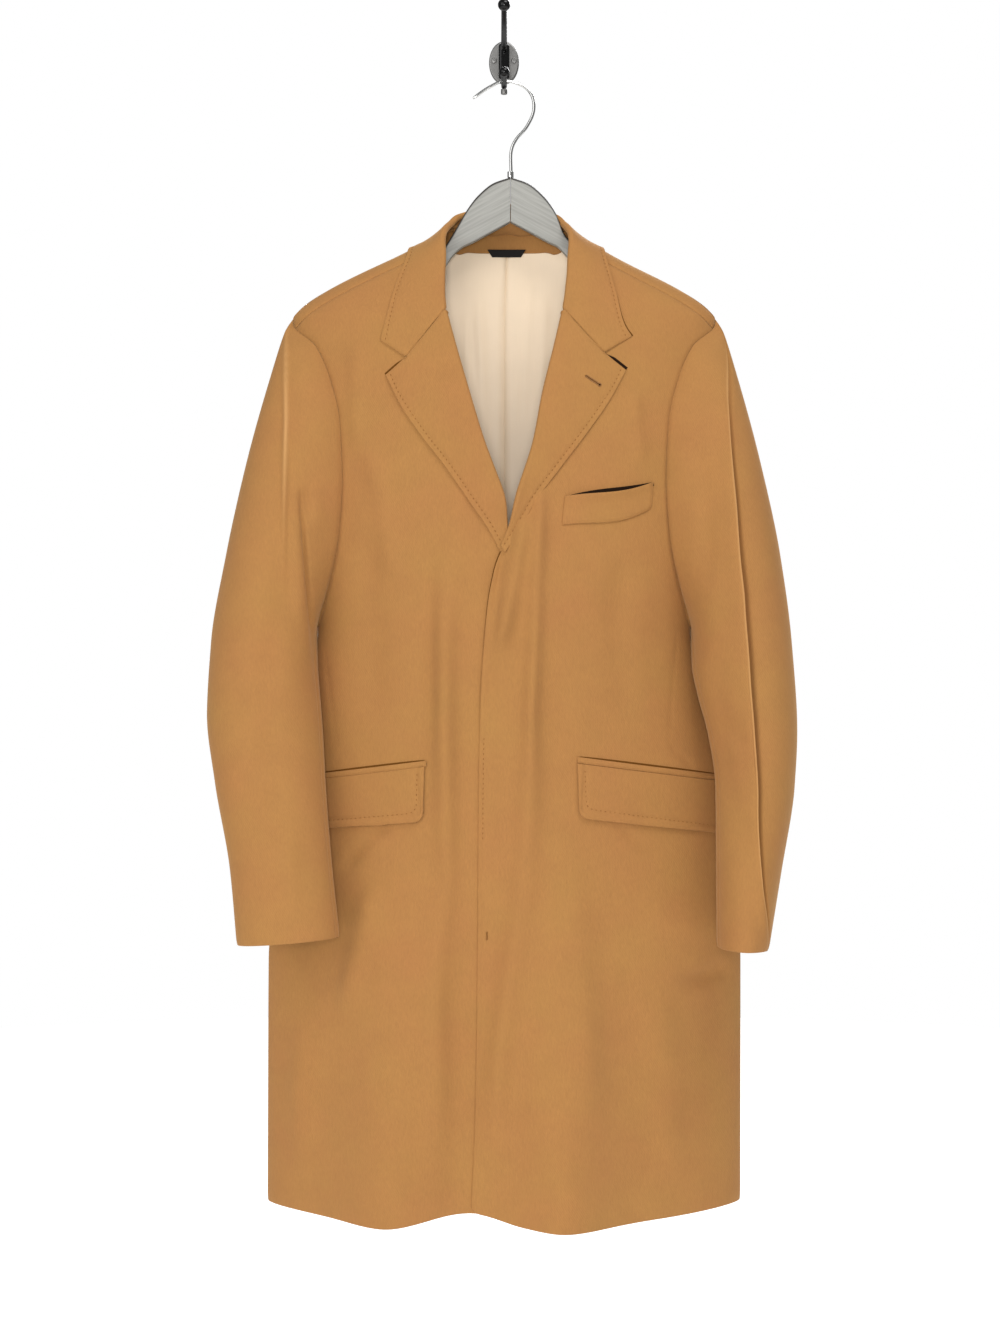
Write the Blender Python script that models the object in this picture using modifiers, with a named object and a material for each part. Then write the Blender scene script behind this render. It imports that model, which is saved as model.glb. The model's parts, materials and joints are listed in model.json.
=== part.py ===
"""Camel wool topcoat on a flat wooden hanger, hung on a black wall hook.

Metres, +Z up, +X to the viewer's right. The wall is the plane Y = 0 and the coat's front faces -Y.
The origin is the centre of the hook plate's back face. Left and right are the viewer's.
Each cloth piece is a wall lofted between an outer and an inner grid of points. Both grids come from the same
section functions, so pieces that share a seam share its points and part by a hair.
"""

import math

import bmesh
import bpy
import numpy as np
from mathutils import Matrix, Vector
from mathutils.bvhtree import BVHTree

OBJECT_NAME = "camel_topcoat"

# Wall thicknesses and gaps
CLOTH = 0.0022
FACE_CLOTH = 0.0018
LINING_CLOTH = 0.0010
HALF_GAP = 0.0002
LIE_GAP = 0.0006

# Shoulder ridge: its fall for each unit outwards, and how the seam lines step down from it
RIDGE_FALL = 0.545
RIDGE_STEP = 0.0084

# Body sections from the neck to below the hem. left and right are half widths, side_y is where the side seam lies,
# front and back are depths from there, and fullness is 0.5 for an ellipse and more for a leaner section.
BODY_COLUMNS = ("height", "left", "right", "side_y", "front", "back", "fullness")
BODY_SECTIONS = (
    (-0.1480, 0.0020, 0.0020, -0.050, 0.026, 0.030, 0.50),
    (-0.1560, 0.0300, 0.0300, -0.050, 0.027, 0.030, 0.50),
    (-0.1680, 0.0475, 0.0475, -0.050, 0.029, 0.030, 0.50),
    (-0.1850, 0.0600, 0.0600, -0.050, 0.032, 0.030, 0.50),
    (-0.2050, 0.0821, 0.0821, -0.050, 0.036, 0.030, 0.50),
    (-0.2205, 0.1105, 0.1105, -0.050, 0.038, 0.030, 0.50),
    (-0.2831, 0.2254, 0.2254, -0.051, 0.053, 0.031, 0.50),
    (-0.2950, 0.2335, 0.2335, -0.052, 0.056, 0.032, 0.50),
    (-0.3600, 0.2310, 0.2310, -0.058, 0.067, 0.038, 0.52),
    (-0.4500, 0.2220, 0.2220, -0.070, 0.073, 0.050, 0.56),
    (-0.5500, 0.2110, 0.2110, -0.080, 0.078, 0.060, 0.62),
    (-0.6350, 0.2035, 0.2035, -0.085, 0.080, 0.065, 0.68),
    (-0.6800, 0.2022, 0.2024, -0.085, 0.081, 0.065, 0.70),
    (-0.7400, 0.2090, 0.2225, -0.085, 0.082, 0.065, 0.70),
    (-0.8000, 0.2250, 0.2430, -0.085, 0.082, 0.065, 0.70),
    (-0.9000, 0.2470, 0.2545, -0.085, 0.083, 0.065, 0.68),
    (-1.0000, 0.2576, 0.2585, -0.085, 0.086, 0.065, 0.66),
    (-1.2800, 0.2585, 0.2580, -0.085, 0.096, 0.065, 0.62),
)

# Soft folds of the skirt: ridges stand proud of the section by height at the foot and fade out at the top
SKIRT_FOLDS = (
    # face, top_x, foot_x, top_z, foot_z, width, height
    ("front", -0.105, -0.130, -0.80, -1.27, 0.055, 0.036),
    ("front", 0.050, 0.066, -0.76, -1.27, 0.050, 0.030),
    ("back", -0.120, -0.145, -0.74, -1.27, 0.040, -0.016),
    ("back", -0.020, -0.030, -0.70, -1.27, 0.045, -0.020),
    ("back", 0.085, 0.105, -0.78, -1.27, 0.045, -0.022),
)

# Armhole: distance of its front and back edges from the middle of the coat
ARMHOLE_TOP = -0.295
ARMHOLE_FOOT = -0.635
ARMHOLE_STEPS = 10
ARMHOLE_COLUMNS = ("height", "front", "back")
ARMHOLE = (
    (-0.2950, 0.2335, 0.2335),
    (-0.3033, 0.2315, 0.2305),
    (-0.3275, 0.2060, 0.2140),
    (-0.3650, 0.1890, 0.2000),
    (-0.4125, 0.1778, 0.1910),
    (-0.4800, 0.1746, 0.1865),
    (-0.5400, 0.1785, 0.1870),
    (-0.5850, 0.1875, 0.1915),
    (-0.6350, 0.2035, 0.2035),
)

# Front edge of each front, outwards from the middle: neck, roll line, then the edge down to the hem.
# The left front runs on under the right one.
FRONT_EDGE_COLUMNS = ("height", "left", "right")
FRONT_EDGE = (
    (-0.2112, 0.0780, 0.0780),
    (-0.2450, 0.0680, 0.0680),
    (-0.2900, 0.0640, 0.0645),
    (-0.3350, 0.0530, 0.0550),
    (-0.3850, 0.0392, 0.0430),
    (-0.4350, 0.0250, 0.0340),
    (-0.4850, 0.0085, 0.0205),
    (-0.5270, -0.0020, 0.0095),
    (-0.5750, -0.0330, -0.0100),
    (-0.6200, -0.0460, -0.0180),
    (-0.7100, -0.0480, -0.0246),
    (-0.8000, -0.0480, -0.0268),
    (-0.9600, -0.0480, -0.0278),
    (-1.1400, -0.0460, -0.0300),
    (-1.2800, -0.0440, -0.0360),
)
SKIRT_STEPS = 11
FRONT_COLUMNS = 10
LAP_DIP = 0.0050
LAP_TOP = -0.500
LAP_FULL = -0.527

# Hem height across the front, from the left side seam to the right one, and round the back
HEM_COLUMNS = ("across", "height")
FRONT_HEM = (
    (-0.2585, -1.2590),
    (-0.1900, -1.2640),
    (-0.1300, -1.2680),
    (-0.0360, -1.2545),
    (0.0200, -1.2670),
    (0.0660, -1.2715),
    (0.1600, -1.2660),
    (0.2580, -1.2580),
)
BACK_HEM_LIFT = 0.004

# Sleeve sections from the armhole to the cuff. outer and inner are the two ends of a section as seen from the
# front, middle_y and depth place it front to back, and bow is how much of the armhole's own curve it keeps.
SLEEVE_COLUMNS = ("outer_x", "outer_z", "inner_x", "inner_z", "middle_y", "depth", "bow")
LEFT_SLEEVE = (
    (0.2335, -0.295, 0.2035, -0.635, -0.082, 0.052, 1.00),
    (0.2405, -0.308, 0.2035, -0.638, -0.083, 0.056, 0.80),
    (0.2590, -0.372, 0.2035, -0.646, -0.087, 0.061, 0.40),
    (0.2800, -0.455, 0.2030, -0.657, -0.094, 0.062, 0.12),
    (0.3010, -0.556, 0.2018, -0.678, -0.103, 0.060, 0.00),
    (0.3160, -0.650, 0.1985, -0.710, -0.115, 0.056, 0.00),
    (0.3190, -0.725, 0.1945, -0.750, -0.129, 0.052, 0.00),
    (0.3080, -0.802, 0.1898, -0.810, -0.151, 0.045, 0.00),
    (0.2905, -0.890, 0.1820, -0.890, -0.170, 0.039, 0.00),
    (0.2820, -0.971, 0.1735, -0.962, -0.180, 0.035, 0.00),
)
RIGHT_SLEEVE = (
    (0.2335, -0.295, 0.2035, -0.635, -0.082, 0.052, 1.00),
    (0.2405, -0.308, 0.2035, -0.638, -0.083, 0.056, 0.80),
    (0.2585, -0.372, 0.2035, -0.646, -0.087, 0.062, 0.40),
    (0.2785, -0.455, 0.2032, -0.657, -0.095, 0.064, 0.12),
    (0.2985, -0.556, 0.2033, -0.678, -0.105, 0.062, 0.00),
    (0.3098, -0.650, 0.2095, -0.712, -0.116, 0.059, 0.00),
    (0.3140, -0.735, 0.2190, -0.752, -0.131, 0.057, 0.00),
    (0.3090, -0.806, 0.2250, -0.808, -0.151, 0.055, 0.00),
    (0.2925, -0.895, 0.2240, -0.895, -0.172, 0.053, 0.00),
    (0.2780, -0.974, 0.2235, -0.972, -0.186, 0.052, 0.00),
)
SLEEVE_RINGS = 18
SLEEVE_SIDES = 2 * ARMHOLE_STEPS
FRONT_SEAM_SIDE = 8
BACK_SEAM_SIDE = 16

# Pressed crease down the right sleeve: a ridge and a trough beside it, as angles round the section from the outer side
CREASE_COLUMNS = ("share", "angle", "ridge")
RIGHT_CREASE = (
    (0.00, 72.0, 0.000),
    (0.25, 84.0, 0.005),
    (0.55, 90.0, 0.008),
    (0.80, 62.0, 0.008),
    (1.00, 36.0, 0.006),
)
CREASE_WIDTH = 9.0
TROUGH_AWAY = 17.0
TROUGH_SHARE = 0.7

# Lapels and collar. Heights and distances out from the middle follow the roll line and the outer edge.
ROLL_RADIUS = 0.0038
ROLL_ANGLES = (-90.0, -25.0, 40.0)
EDGE_LIFT = 0.0016
GORGE_SHARES = (0.0, 0.24, 0.48, 0.715, 0.86, 1.0)
GORGE_END = 3
LAPEL_COLUMNS = ("share", "roll_x", "roll_z", "edge_x", "edge_z")
LEFT_LAPEL = (
    (0.00, 0.0640, -0.2930, 0.1267, -0.3624),
    (0.20, 0.0520, -0.3380, 0.1106, -0.3956),
    (0.40, 0.0390, -0.3850, 0.0880, -0.4300),
    (0.60, 0.0245, -0.4350, 0.0630, -0.4630),
    (0.80, 0.0100, -0.4800, 0.0330, -0.5070),
    (1.00, 0.0020, -0.5150, 0.0100, -0.5430),
)
RIGHT_LAPEL = (
    (0.00, 0.0645, -0.2930, 0.1305, -0.3570),
    (0.20, 0.0540, -0.3380, 0.1134, -0.3892),
    (0.40, 0.0430, -0.3850, 0.0885, -0.4260),
    (0.60, 0.0340, -0.4350, 0.0600, -0.4645),
    (0.80, 0.0200, -0.4850, 0.0320, -0.5030),
    (1.00, 0.0096, -0.5240, 0.0160, -0.5320),
)
LAPEL_ROWS = 10
LEFT_NOTCH = (0.1052, -0.3440)
RIGHT_NOTCH = (0.1070, -0.3390)
LEFT_COLLAR_TIP = (0.1324, -0.3250)
RIGHT_COLLAR_TIP = (0.1369, -0.3202)

# Collar from the gorge to the middle of the back. over is the way across the shoulder ridge: below zero in front
# of it and above zero behind it.
COLLAR_COLUMNS = ("share", "fold_x", "fold_over", "edge_x", "edge_over")
COLLAR = (
    (0.00, 0.0640, -3.44, 0.1330, -3.30),
    (0.16, 0.0640, -2.80, 0.1265, -2.90),
    (0.32, 0.0620, -2.05, 0.1195, -2.20),
    (0.48, 0.0610, -1.00, 0.1110, -1.30),
    (0.62, 0.0560, 0.00, 0.1060, 0.10),
    (0.75, 0.0440, 0.55, 0.0900, 1.35),
    (0.88, 0.0230, 0.72, 0.0480, 2.57),
    (1.00, 0.0000, 0.77, 0.0000, 2.97),
)
COLLAR_FRONT_SHARES = (0.0, 0.12, 0.24, 0.36)
COLLAR_NECK_SHARES = (0.48, 0.584, 0.688, 0.792, 0.896, 1.0)
COLLAR_LIFT = 0.0030
COLLAR_RIDGE_LIFT = 0.0030

# Inside the neck
BACK_NECK = -0.1960
RIDGE_ROWS = 4
RIDGE_END = 3.25
FACING_ROW = 2
FACING_COLUMN = 3
LINING_SHORT_ROWS = 1
LINING_SHORT_COLUMNS = 1
LABEL_TOP_HALF = 0.0240
LABEL_FOOT_HALF = 0.0178
LABEL_MIDDLE = 0.0028
LABEL_TOP = -0.2140
LABEL_FOOT = -0.2220

# Pockets: corners of each patch on its front, as inner top, outer top, outer foot and inner foot
BREAST_WELT = ((0.0649, -0.4970), (0.1599, -0.4799), (0.1578, -0.5077), (0.0617, -0.5269))
LEFT_FLAP = ((0.0847, -0.7850), (0.2030, -0.8010), (0.2010, -0.8520), (0.0857, -0.8425))
RIGHT_FLAP = ((0.0777, -0.7815), (0.2290, -0.8020), (0.2280, -0.8570), (0.0790, -0.8385))
LEFT_JET = ((0.0830, -0.7785), (0.2040, -0.7948), (0.2040, -0.8000), (0.0830, -0.7840))
RIGHT_JET = ((0.0780, -0.7745), (0.2300, -0.7955), (0.2300, -0.8008), (0.0780, -0.7802))
FLAP_ROUND = 0.010
PATCH_COLUMNS = 14
PATCH_GAP = 0.0008

# Hanger
HANGER_X = 0.0071
HANGER_Y = -0.050
HANGER_THICK = 0.012
HANGER_HEAD_COLUMNS = ("away", "height")
HANGER_HEAD = (
    (0.0000, -0.1384),
    (0.0182, -0.1445),
    (0.0360, -0.1588),
    (0.0480, -0.1745),
    (0.0575, -0.1910),
    (0.0800, -0.2280),
)
HANGER_DROP_COLUMNS = ("coat_away", "drop")
HANGER_DROP = (
    (0.0450, 0.0096),
    (0.0600, 0.0130),
    (0.0760, 0.0128),
    (0.0950, 0.0099),
    (0.2300, 0.0099),
)
HANGER_HALF = 0.188
HANGER_NOTCH = -0.1875
HANGER_ARM = 0.027
HANGER_STEPS = 16
FERRULE_RADIUS = 0.0034
FERRULE_TOP = -0.1315
WIRE_RADIUS = 0.0017
WIRE_ROUTE = (
    (0.0077, -0.1311),
    (0.0077, -0.1100),
    (0.0128, -0.0965),
    (0.0245, -0.0825),
    (0.0325, -0.0650),
    (0.0310, -0.0480),
    (0.0205, -0.0365),
    (0.0010, -0.0312),
    (-0.0170, -0.0385),
    (-0.0343, -0.0505),
)
WIRE_STEPS = 36

# Wall hook
PLATE_WIDE = 0.0336
PLATE_TALL = 0.0480
PLATE_THICK = 0.0040
PLATE_BEVEL = 0.0015
SCREW_X = 0.0112
SCREW_Z = 0.0020
SCREW_RADIUS = 0.0030
SCREW_HEIGHT = 0.0016
BOSS_WIDE = 0.0120
BOSS_TALL = 0.0400
BOSS_THICK = 0.0070
ARM_RADIUS = 0.0033
ARM_STEPS = 12
UPPER_ROUTE = ((-0.0118, 0.0130), (-0.0200, 0.0138), (-0.0400, 0.0205), (-0.0620, 0.0285), (-0.0830, 0.0420))
LOWER_ROUTE = ((-0.0119, -0.0150), (-0.0200, -0.0172), (-0.0320, -0.0305), (-0.0500, -0.0365), (-0.0760, -0.0290))
UPPER_BALL = (-0.0850, 0.0440)
UPPER_BALL_RADIUS = 0.0068
LOWER_BALL = (-0.0780, -0.0277)
LOWER_BALL_RADIUS = 0.0058
BALL_SEGMENTS = 12
PEG_RADIUS = 0.0035
PEG_TALL = 0.0060
MESH_GAP = 0.0003


def curve_through(keys, values):
    """Smooth curve through the points that never overshoots them. Keys may run up or down."""
    order = np.argsort(keys)
    keys = np.asarray(keys, float)[order]
    values = np.asarray(values, float)[order]
    steps = np.diff(keys)
    slopes = np.diff(values) / steps
    tangents = np.zeros(len(keys))
    tangents[0] = slopes[0]
    tangents[-1] = slopes[-1]
    for i in range(1, len(keys) - 1):
        if slopes[i - 1] * slopes[i] > 0:
            tangents[i] = 2 * slopes[i - 1] * slopes[i] / (slopes[i - 1] + slopes[i])

    def at(key):
        key = min(max(key, keys[0]), keys[-1])
        i = min(max(int(np.searchsorted(keys, key)) - 1, 0), len(keys) - 2)
        t = (key - keys[i]) / steps[i]
        rise = values[i] * (1 + 2 * t) * (1 - t) ** 2 + values[i + 1] * t * t * (3 - 2 * t)
        return rise + steps[i] * (tangents[i] * t * (1 - t) ** 2 - tangents[i + 1] * t * t * (1 - t))

    return at


def columns_of(names, rows, key=None):
    """One smooth curve for each named column, read against the key column or the row's share of the way down."""
    keys = [row[names.index(key)] for row in rows] if key else np.linspace(0, 1, len(rows))
    return {
        name: curve_through(keys, [row[i] for row in rows])
        for i, name in enumerate(names)
        if name != key
    }


BODY = columns_of(BODY_COLUMNS, BODY_SECTIONS, "height")
ARMHOLE_AT = columns_of(ARMHOLE_COLUMNS, ARMHOLE, "height")
FRONT_EDGE_AT = columns_of(FRONT_EDGE_COLUMNS, FRONT_EDGE, "height")
HEM_AT = columns_of(HEM_COLUMNS, FRONT_HEM, "across")["height"]
SLEEVE_AT = {
    "left": columns_of(SLEEVE_COLUMNS, LEFT_SLEEVE),
    "right": columns_of(SLEEVE_COLUMNS, RIGHT_SLEEVE),
}
CREASE_AT = columns_of(CREASE_COLUMNS, RIGHT_CREASE, "share")
LAPEL_AT = {
    "left": columns_of(LAPEL_COLUMNS, LEFT_LAPEL, "share"),
    "right": columns_of(LAPEL_COLUMNS, RIGHT_LAPEL, "share"),
}
HANGER_HEAD_AT = columns_of(HANGER_HEAD_COLUMNS, HANGER_HEAD, "away")["height"]
HANGER_DROP_AT = columns_of(HANGER_DROP_COLUMNS, HANGER_DROP, "coat_away")["drop"]
COLLAR_AT = columns_of(COLLAR_COLUMNS, COLLAR, "share")
SIGN = {"left": -1.0, "right": 1.0}


def mix(a, b, share):
    return a + (b - a) * share


def eased(low, high, value):
    """0 at low, 1 at high, with a soft start and end."""
    t = min(max((value - low) / (high - low), 0.0), 1.0)
    return t * t * (3 - 2 * t)


def spread(z):
    """How far a sloping shoulder moves sideways for each unit that its surface moves out."""
    sloped = math.hypot(1, RIDGE_FALL) / RIDGE_FALL
    return mix(1.0, sloped, eased(-0.300, -0.270, z))


def skirt_fold(face, x, z):
    """How far the skirt's folds stand out of the plain section."""
    total = 0.0
    for fold_face, top_x, foot_x, top_z, foot_z, width, height in SKIRT_FOLDS:
        if fold_face == face and z < top_z:
            down = eased(top_z, foot_z, z)
            middle = mix(top_x, foot_x, down)
            total += height * down * math.exp(-(((x - middle) / width) ** 2))
    return total


def body_point(side, z, angle, out=0.0):
    """Point of the body at a height. The angle is 0 at the middle front, 90 at the side and 180 at the middle back."""
    half = BODY[side](z) + out * spread(z)
    turn = math.radians(angle)
    x = SIGN[side] * half * math.sin(turn)
    reach = abs(math.cos(turn)) ** (2 * BODY["fullness"](z))
    if angle <= 90:
        depth = BODY["front"](z) + out
        return np.array([x, BODY["side_y"](z) - (depth + skirt_fold("front", x, z)) * reach, z])
    depth = BODY["back"](z) + out
    return np.array([x, BODY["side_y"](z) + (depth + skirt_fold("back", x, z)) * reach, z])


def angle_of(side, away, z):
    """Angle round the body, in front, of a point that far out from the middle."""
    return math.degrees(math.asin(min(max(away / BODY[side](z), -1.0), 1.0)))


def on_front(side, away, z, out=0.0):
    return body_point(side, z, angle_of(side, away, z), out)


def on_back(side, away, z, out=0.0):
    return body_point(side, z, 180 - angle_of(side, away, z), out)


def ridge_z(away):
    """Height of the shoulder ridge, where the section's half width is that far out."""
    heights = np.linspace(BODY_SECTIONS[0][0], ARMHOLE_TOP, 60)
    return float(np.interp(away, [BODY["left"](z) for z in heights], heights))


def over_shoulder(side, away, over, out=0.0):
    """Point near the shoulder ridge: in front of it where over is below zero, behind it where over is above."""
    z = ridge_z(away) - RIDGE_STEP * over * over
    return on_front(side, away, z, out) if over < 0 else on_back(side, away, z, out)


def armhole_height(step):
    drop = (1 - math.cos(math.pi * step / ARMHOLE_STEPS)) / 2
    return mix(ARMHOLE_TOP, ARMHOLE_FOOT, drop)


def armhole_point(side, face, step):
    z = armhole_height(step)
    place = on_front if face == "front" else on_back
    return place(side, ARMHOLE_AT[face](z), z)


def drawn_in(grid, first_row=0.0, last_row=0.0, first_column=0.0, last_column=0.0):
    """The grid with its border rows and columns moved inwards along the cloth by the given lengths."""
    grid = np.array(grid, float)
    borders = (
        (grid, first_row),
        (grid[::-1], last_row),
        (grid.swapaxes(0, 1), first_column),
        (grid.swapaxes(0, 1)[::-1], last_column),
    )
    for view, length in borders:
        if length:
            way = view[1] - view[0]
            view[0] += way * length / np.linalg.norm(way, axis=1, keepdims=True)
    return grid


def principled(name, colour, roughness, metallic=0.0):
    """Material with an sRGB colour given as six hex digits."""
    channels = [int(colour[i : i + 2], 16) / 255 for i in (0, 2, 4)]
    linear = [c / 12.92 if c <= 0.04045 else ((c + 0.055) / 1.055) ** 2.4 for c in channels]
    material = bpy.data.materials.new(name)
    material.use_nodes = True
    shader = material.node_tree.nodes["Principled BSDF"]
    shader.inputs["Base Color"].default_value = (*linear, 1.0)
    shader.inputs["Roughness"].default_value = roughness
    shader.inputs["Metallic"].default_value = metallic
    return material


def place(obj, material):
    """Gives the object its own copy of a material, puts it in the coat's collection and hangs it on the hook point."""
    own = material.copy()
    own.name = f"{material.name}_{obj.name}"
    obj.data.materials.clear()
    obj.data.materials.append(own)
    for collection in list(obj.users_collection):
        collection.objects.unlink(obj)
    parts = bpy.data.collections[OBJECT_NAME]
    parts.objects.link(obj)
    obj.parent = bpy.data.objects["hang_point"]
    return obj


def wall(name, outer, inner, material):
    """Closed cloth wall between two grids of points with the same rows and columns."""
    rows, columns = outer.shape[:2]
    mesh = bmesh.new()
    skins = [[[mesh.verts.new(point) for point in row] for row in skin] for skin in (outer, inner)]
    for skin in skins:
        for r in range(rows - 1):
            for c in range(columns - 1):
                mesh.faces.new((skin[r][c], skin[r][c + 1], skin[r + 1][c + 1], skin[r + 1][c]))
    rim = [(0, c) for c in range(columns)]
    rim += [(r, columns - 1) for r in range(1, rows)]
    rim += [(rows - 1, c) for c in range(columns - 2, -1, -1)]
    rim += [(r, 0) for r in range(rows - 2, 0, -1)]
    face, lining = skins
    for (r, c), (next_r, next_c) in zip(rim, rim[1:] + rim[:1]):
        mesh.faces.new((face[r][c], face[next_r][next_c], lining[next_r][next_c], lining[r][c]))
    bmesh.ops.recalc_face_normals(mesh, faces=mesh.faces)
    if mesh.calc_volume(signed=True) < 0:
        bmesh.ops.reverse_faces(mesh, faces=mesh.faces)
    data = bpy.data.meshes.new(name)
    mesh.to_mesh(data)
    mesh.free()
    data.shade_smooth()
    data.set_sharp_from_angle(angle=math.radians(40))
    obj = bpy.data.objects.new(name, data)
    bpy.context.scene.collection.objects.link(obj)
    return place(obj, material)


def lap_dip(x, z):
    """How far the left front is pressed back where the right front lies on it."""
    edge = FRONT_EDGE_AT["right"](z)
    return LAP_DIP * eased(edge - 0.050, edge - 0.012, x) * eased(LAP_TOP, LAP_FULL, z)


def front_grid(side, out):
    """Rows across a front from its edge to the armhole or side seam, from the shoulder seam to the hem."""
    shares = np.linspace(0, 1, FRONT_COLUMNS + 1)
    ends = []
    for step in range(1, ARMHOLE_STEPS + 1):
        inner_z = FRONT_EDGE[step - 1][0]
        outer_z = armhole_height(step)
        ends.append((inner_z, FRONT_EDGE_AT[side](inner_z), outer_z, ARMHOLE_AT["front"](outer_z)))
    waist_inner, waist_outer = ends[-1][0], ends[-1][2]
    for step in range(1, SKIRT_STEPS + 1):
        down = step / SKIRT_STEPS
        inner_z = mix(waist_inner, HEM_AT(SIGN[side] * FRONT_EDGE_AT[side](-1.26)), down)
        outer_z = mix(waist_outer, HEM_AT(SIGN[side] * BODY[side](-1.26)), down)
        ends.append((inner_z, FRONT_EDGE_AT[side](inner_z), outer_z, BODY[side](outer_z)))
    grid = []
    for number, (inner_z, inner_x, outer_z, outer_x) in enumerate(ends):
        down = max(number + 1 - ARMHOLE_STEPS, 0) / SKIRT_STEPS
        first = angle_of(side, inner_x, inner_z)
        last = angle_of(side, outer_x, outer_z)
        row = []
        for share in shares:
            z = mix(inner_z, outer_z, share)
            angle = mix(first, last, share)
            if down:
                x = SIGN[side] * BODY[side](z) * math.sin(math.radians(angle))
                z += down * (HEM_AT(x) - mix(ends[-1][0], ends[-1][2], share))
            point = body_point(side, z, angle, out)
            if side == "left":
                point[1] += lap_dip(point[0], z)
            row.append(point)
        grid.append(row)
    return drawn_in(grid, first_row=HALF_GAP, last_column=HALF_GAP)


def neck_away(column):
    """How far out each column of the back's neckline lies, from the middle of the back to the shoulder seam."""
    fold = COLLAR_AT["fold_x"]
    share = COLLAR_NECK_SHARES[len(COLLAR_NECK_SHARES) - 1 - column]
    return FRONT_EDGE[0][1] * fold(share) / fold(COLLAR_NECK_SHARES[0])


def neck_over(away):
    """Where the back's neckline lies across the ridge, from the middle of the back to the shoulder seam."""
    neck = FRONT_EDGE[0][1]
    middle = math.sqrt((ridge_z(0) - BACK_NECK) / RIDGE_STEP)
    return mix(middle, -1.0, min(away / neck, 1.0) ** 3)


def back_top_point(side, row, away, share, outer_x, outer_z, out):
    """Point of the back's top rows, which cross the shoulder ridge. share is above zero outside the neck."""
    down = row / RIDGE_ROWS
    over = mix(neck_over(away), RIDGE_END, down)
    z = ridge_z(away) - RIDGE_STEP * over * over
    armhole_end = ridge_z(outer_x) - RIDGE_STEP * mix(-1.0, RIDGE_END, down) ** 2
    z += max(share, 0.0) ** 4 * (outer_z - armhole_end)
    return on_front(side, away, z, out) if over < 0 else on_back(side, away, z, out)


def back_grid(side, out, trimmed=True):
    """Rows across one half of the back: shoulder seam, over the ridge, down the armhole and the side seam to the hem."""
    neck = FRONT_EDGE[0][1]
    neck_columns = len(COLLAR_NECK_SHARES) - 1
    hem_side = HEM_AT(SIGN[side] * BODY[side](-1.26))
    ends = [(armhole_height(1), ARMHOLE_AT["front"](armhole_height(1)))]
    for step in range(ARMHOLE_STEPS + 1):
        z = armhole_height(step)
        ends.append((z, ARMHOLE_AT["back"](z)))
    armhole_rows = len(ends)
    for step in range(1, SKIRT_STEPS + 1):
        z = mix(ARMHOLE_FOOT, hem_side, step / SKIRT_STEPS)
        ends.append((z, BODY[side](z)))
    middle_top = ridge_z(0) - RIDGE_STEP * RIDGE_END**2
    grid = []
    for number, (outer_z, outer_x) in enumerate(ends):
        row = []
        for column in range(neck_columns + FRONT_COLUMNS + 1):
            share = (column - neck_columns) / FRONT_COLUMNS
            away = mix(neck, outer_x, share) if share >= 0 else neck_away(column)
            if number == 0 and share >= 0:
                z = mix(FRONT_EDGE[0][0], outer_z, share)
                first = angle_of(side, neck, FRONT_EDGE[0][0])
                last = angle_of(side, outer_x, outer_z)
                row.append(body_point(side, z, mix(first, last, share), out))
            elif number <= RIDGE_ROWS:
                row.append(back_top_point(side, number, away, share, outer_x, outer_z, out))
            else:
                down = (number - RIDGE_ROWS) / (len(ends) - 1 - RIDGE_ROWS)
                across = away / outer_x
                blend = across**2 if number < armhole_rows else across
                z = mix(mix(middle_top, hem_side + BACK_HEM_LIFT, down), outer_z, blend)
                turn = across * angle_of(side, outer_x, outer_z)
                row.append(body_point(side, z, 180 - turn, out))
        grid.append(row)
    if not trimmed:
        return np.array(grid)
    return drawn_in(grid, first_row=HALF_GAP, first_column=HALF_GAP, last_column=HALF_GAP)


def sleeve_point(side, share, step):
    """Point of a sleeve: share runs from the armhole to the cuff, step runs round the section from the outer side."""
    at = SLEEVE_AT[side]
    turn = 2 * math.pi * step / SLEEVE_SIDES

    def ellipse(place):
        outer = np.array([at["outer_x"](place), at["outer_z"](place)])
        inner = np.array([at["inner_x"](place), at["inner_z"](place)])
        middle = (outer + inner) / 2
        x, z = middle + (outer - inner) / 2 * math.cos(turn)
        depth = at["depth"](place)
        if side == "right":
            depth += sleeve_crease(place, math.degrees(turn))
        return np.array([SIGN[side] * x, at["middle_y"](place) - depth * math.sin(turn), z])

    bow = at["bow"](share)
    point = ellipse(share)
    if bow:
        face = "front" if step <= ARMHOLE_STEPS else "back"
        rim_step = step if step <= ARMHOLE_STEPS else SLEEVE_SIDES - step
        point = point + bow * (armhole_point(side, face, rim_step) - ellipse(0.0))
    return point


def sleeve_crease(share, angle):
    middle = CREASE_AT["angle"](share)
    ridge = math.exp(-(((angle - middle) / CREASE_WIDTH) ** 2))
    trough = math.exp(-(((angle - middle + TROUGH_AWAY) / CREASE_WIDTH) ** 2))
    return CREASE_AT["ridge"](share) * (ridge - TROUGH_SHARE * trough)


def sleeve_skins(side):
    """Outer and inner grids of a whole sleeve, with a column for each step round it."""
    shares = [(i / SLEEVE_RINGS) ** 1.15 for i in range(SLEEVE_RINGS + 1)]
    outer = np.array([[sleeve_point(side, share, step) for step in range(SLEEVE_SIDES)] for share in shares])
    around = np.roll(outer, -1, axis=1) - np.roll(outer, 1, axis=1)
    along = np.gradient(outer, axis=0)
    normals = np.cross(around, along)
    normals /= np.linalg.norm(normals, axis=2, keepdims=True)
    middles = outer.mean(axis=1, keepdims=True)
    if np.sum(normals * (outer - middles)) < 0:
        normals = -normals
    return outer, outer - CLOTH * normals


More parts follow.
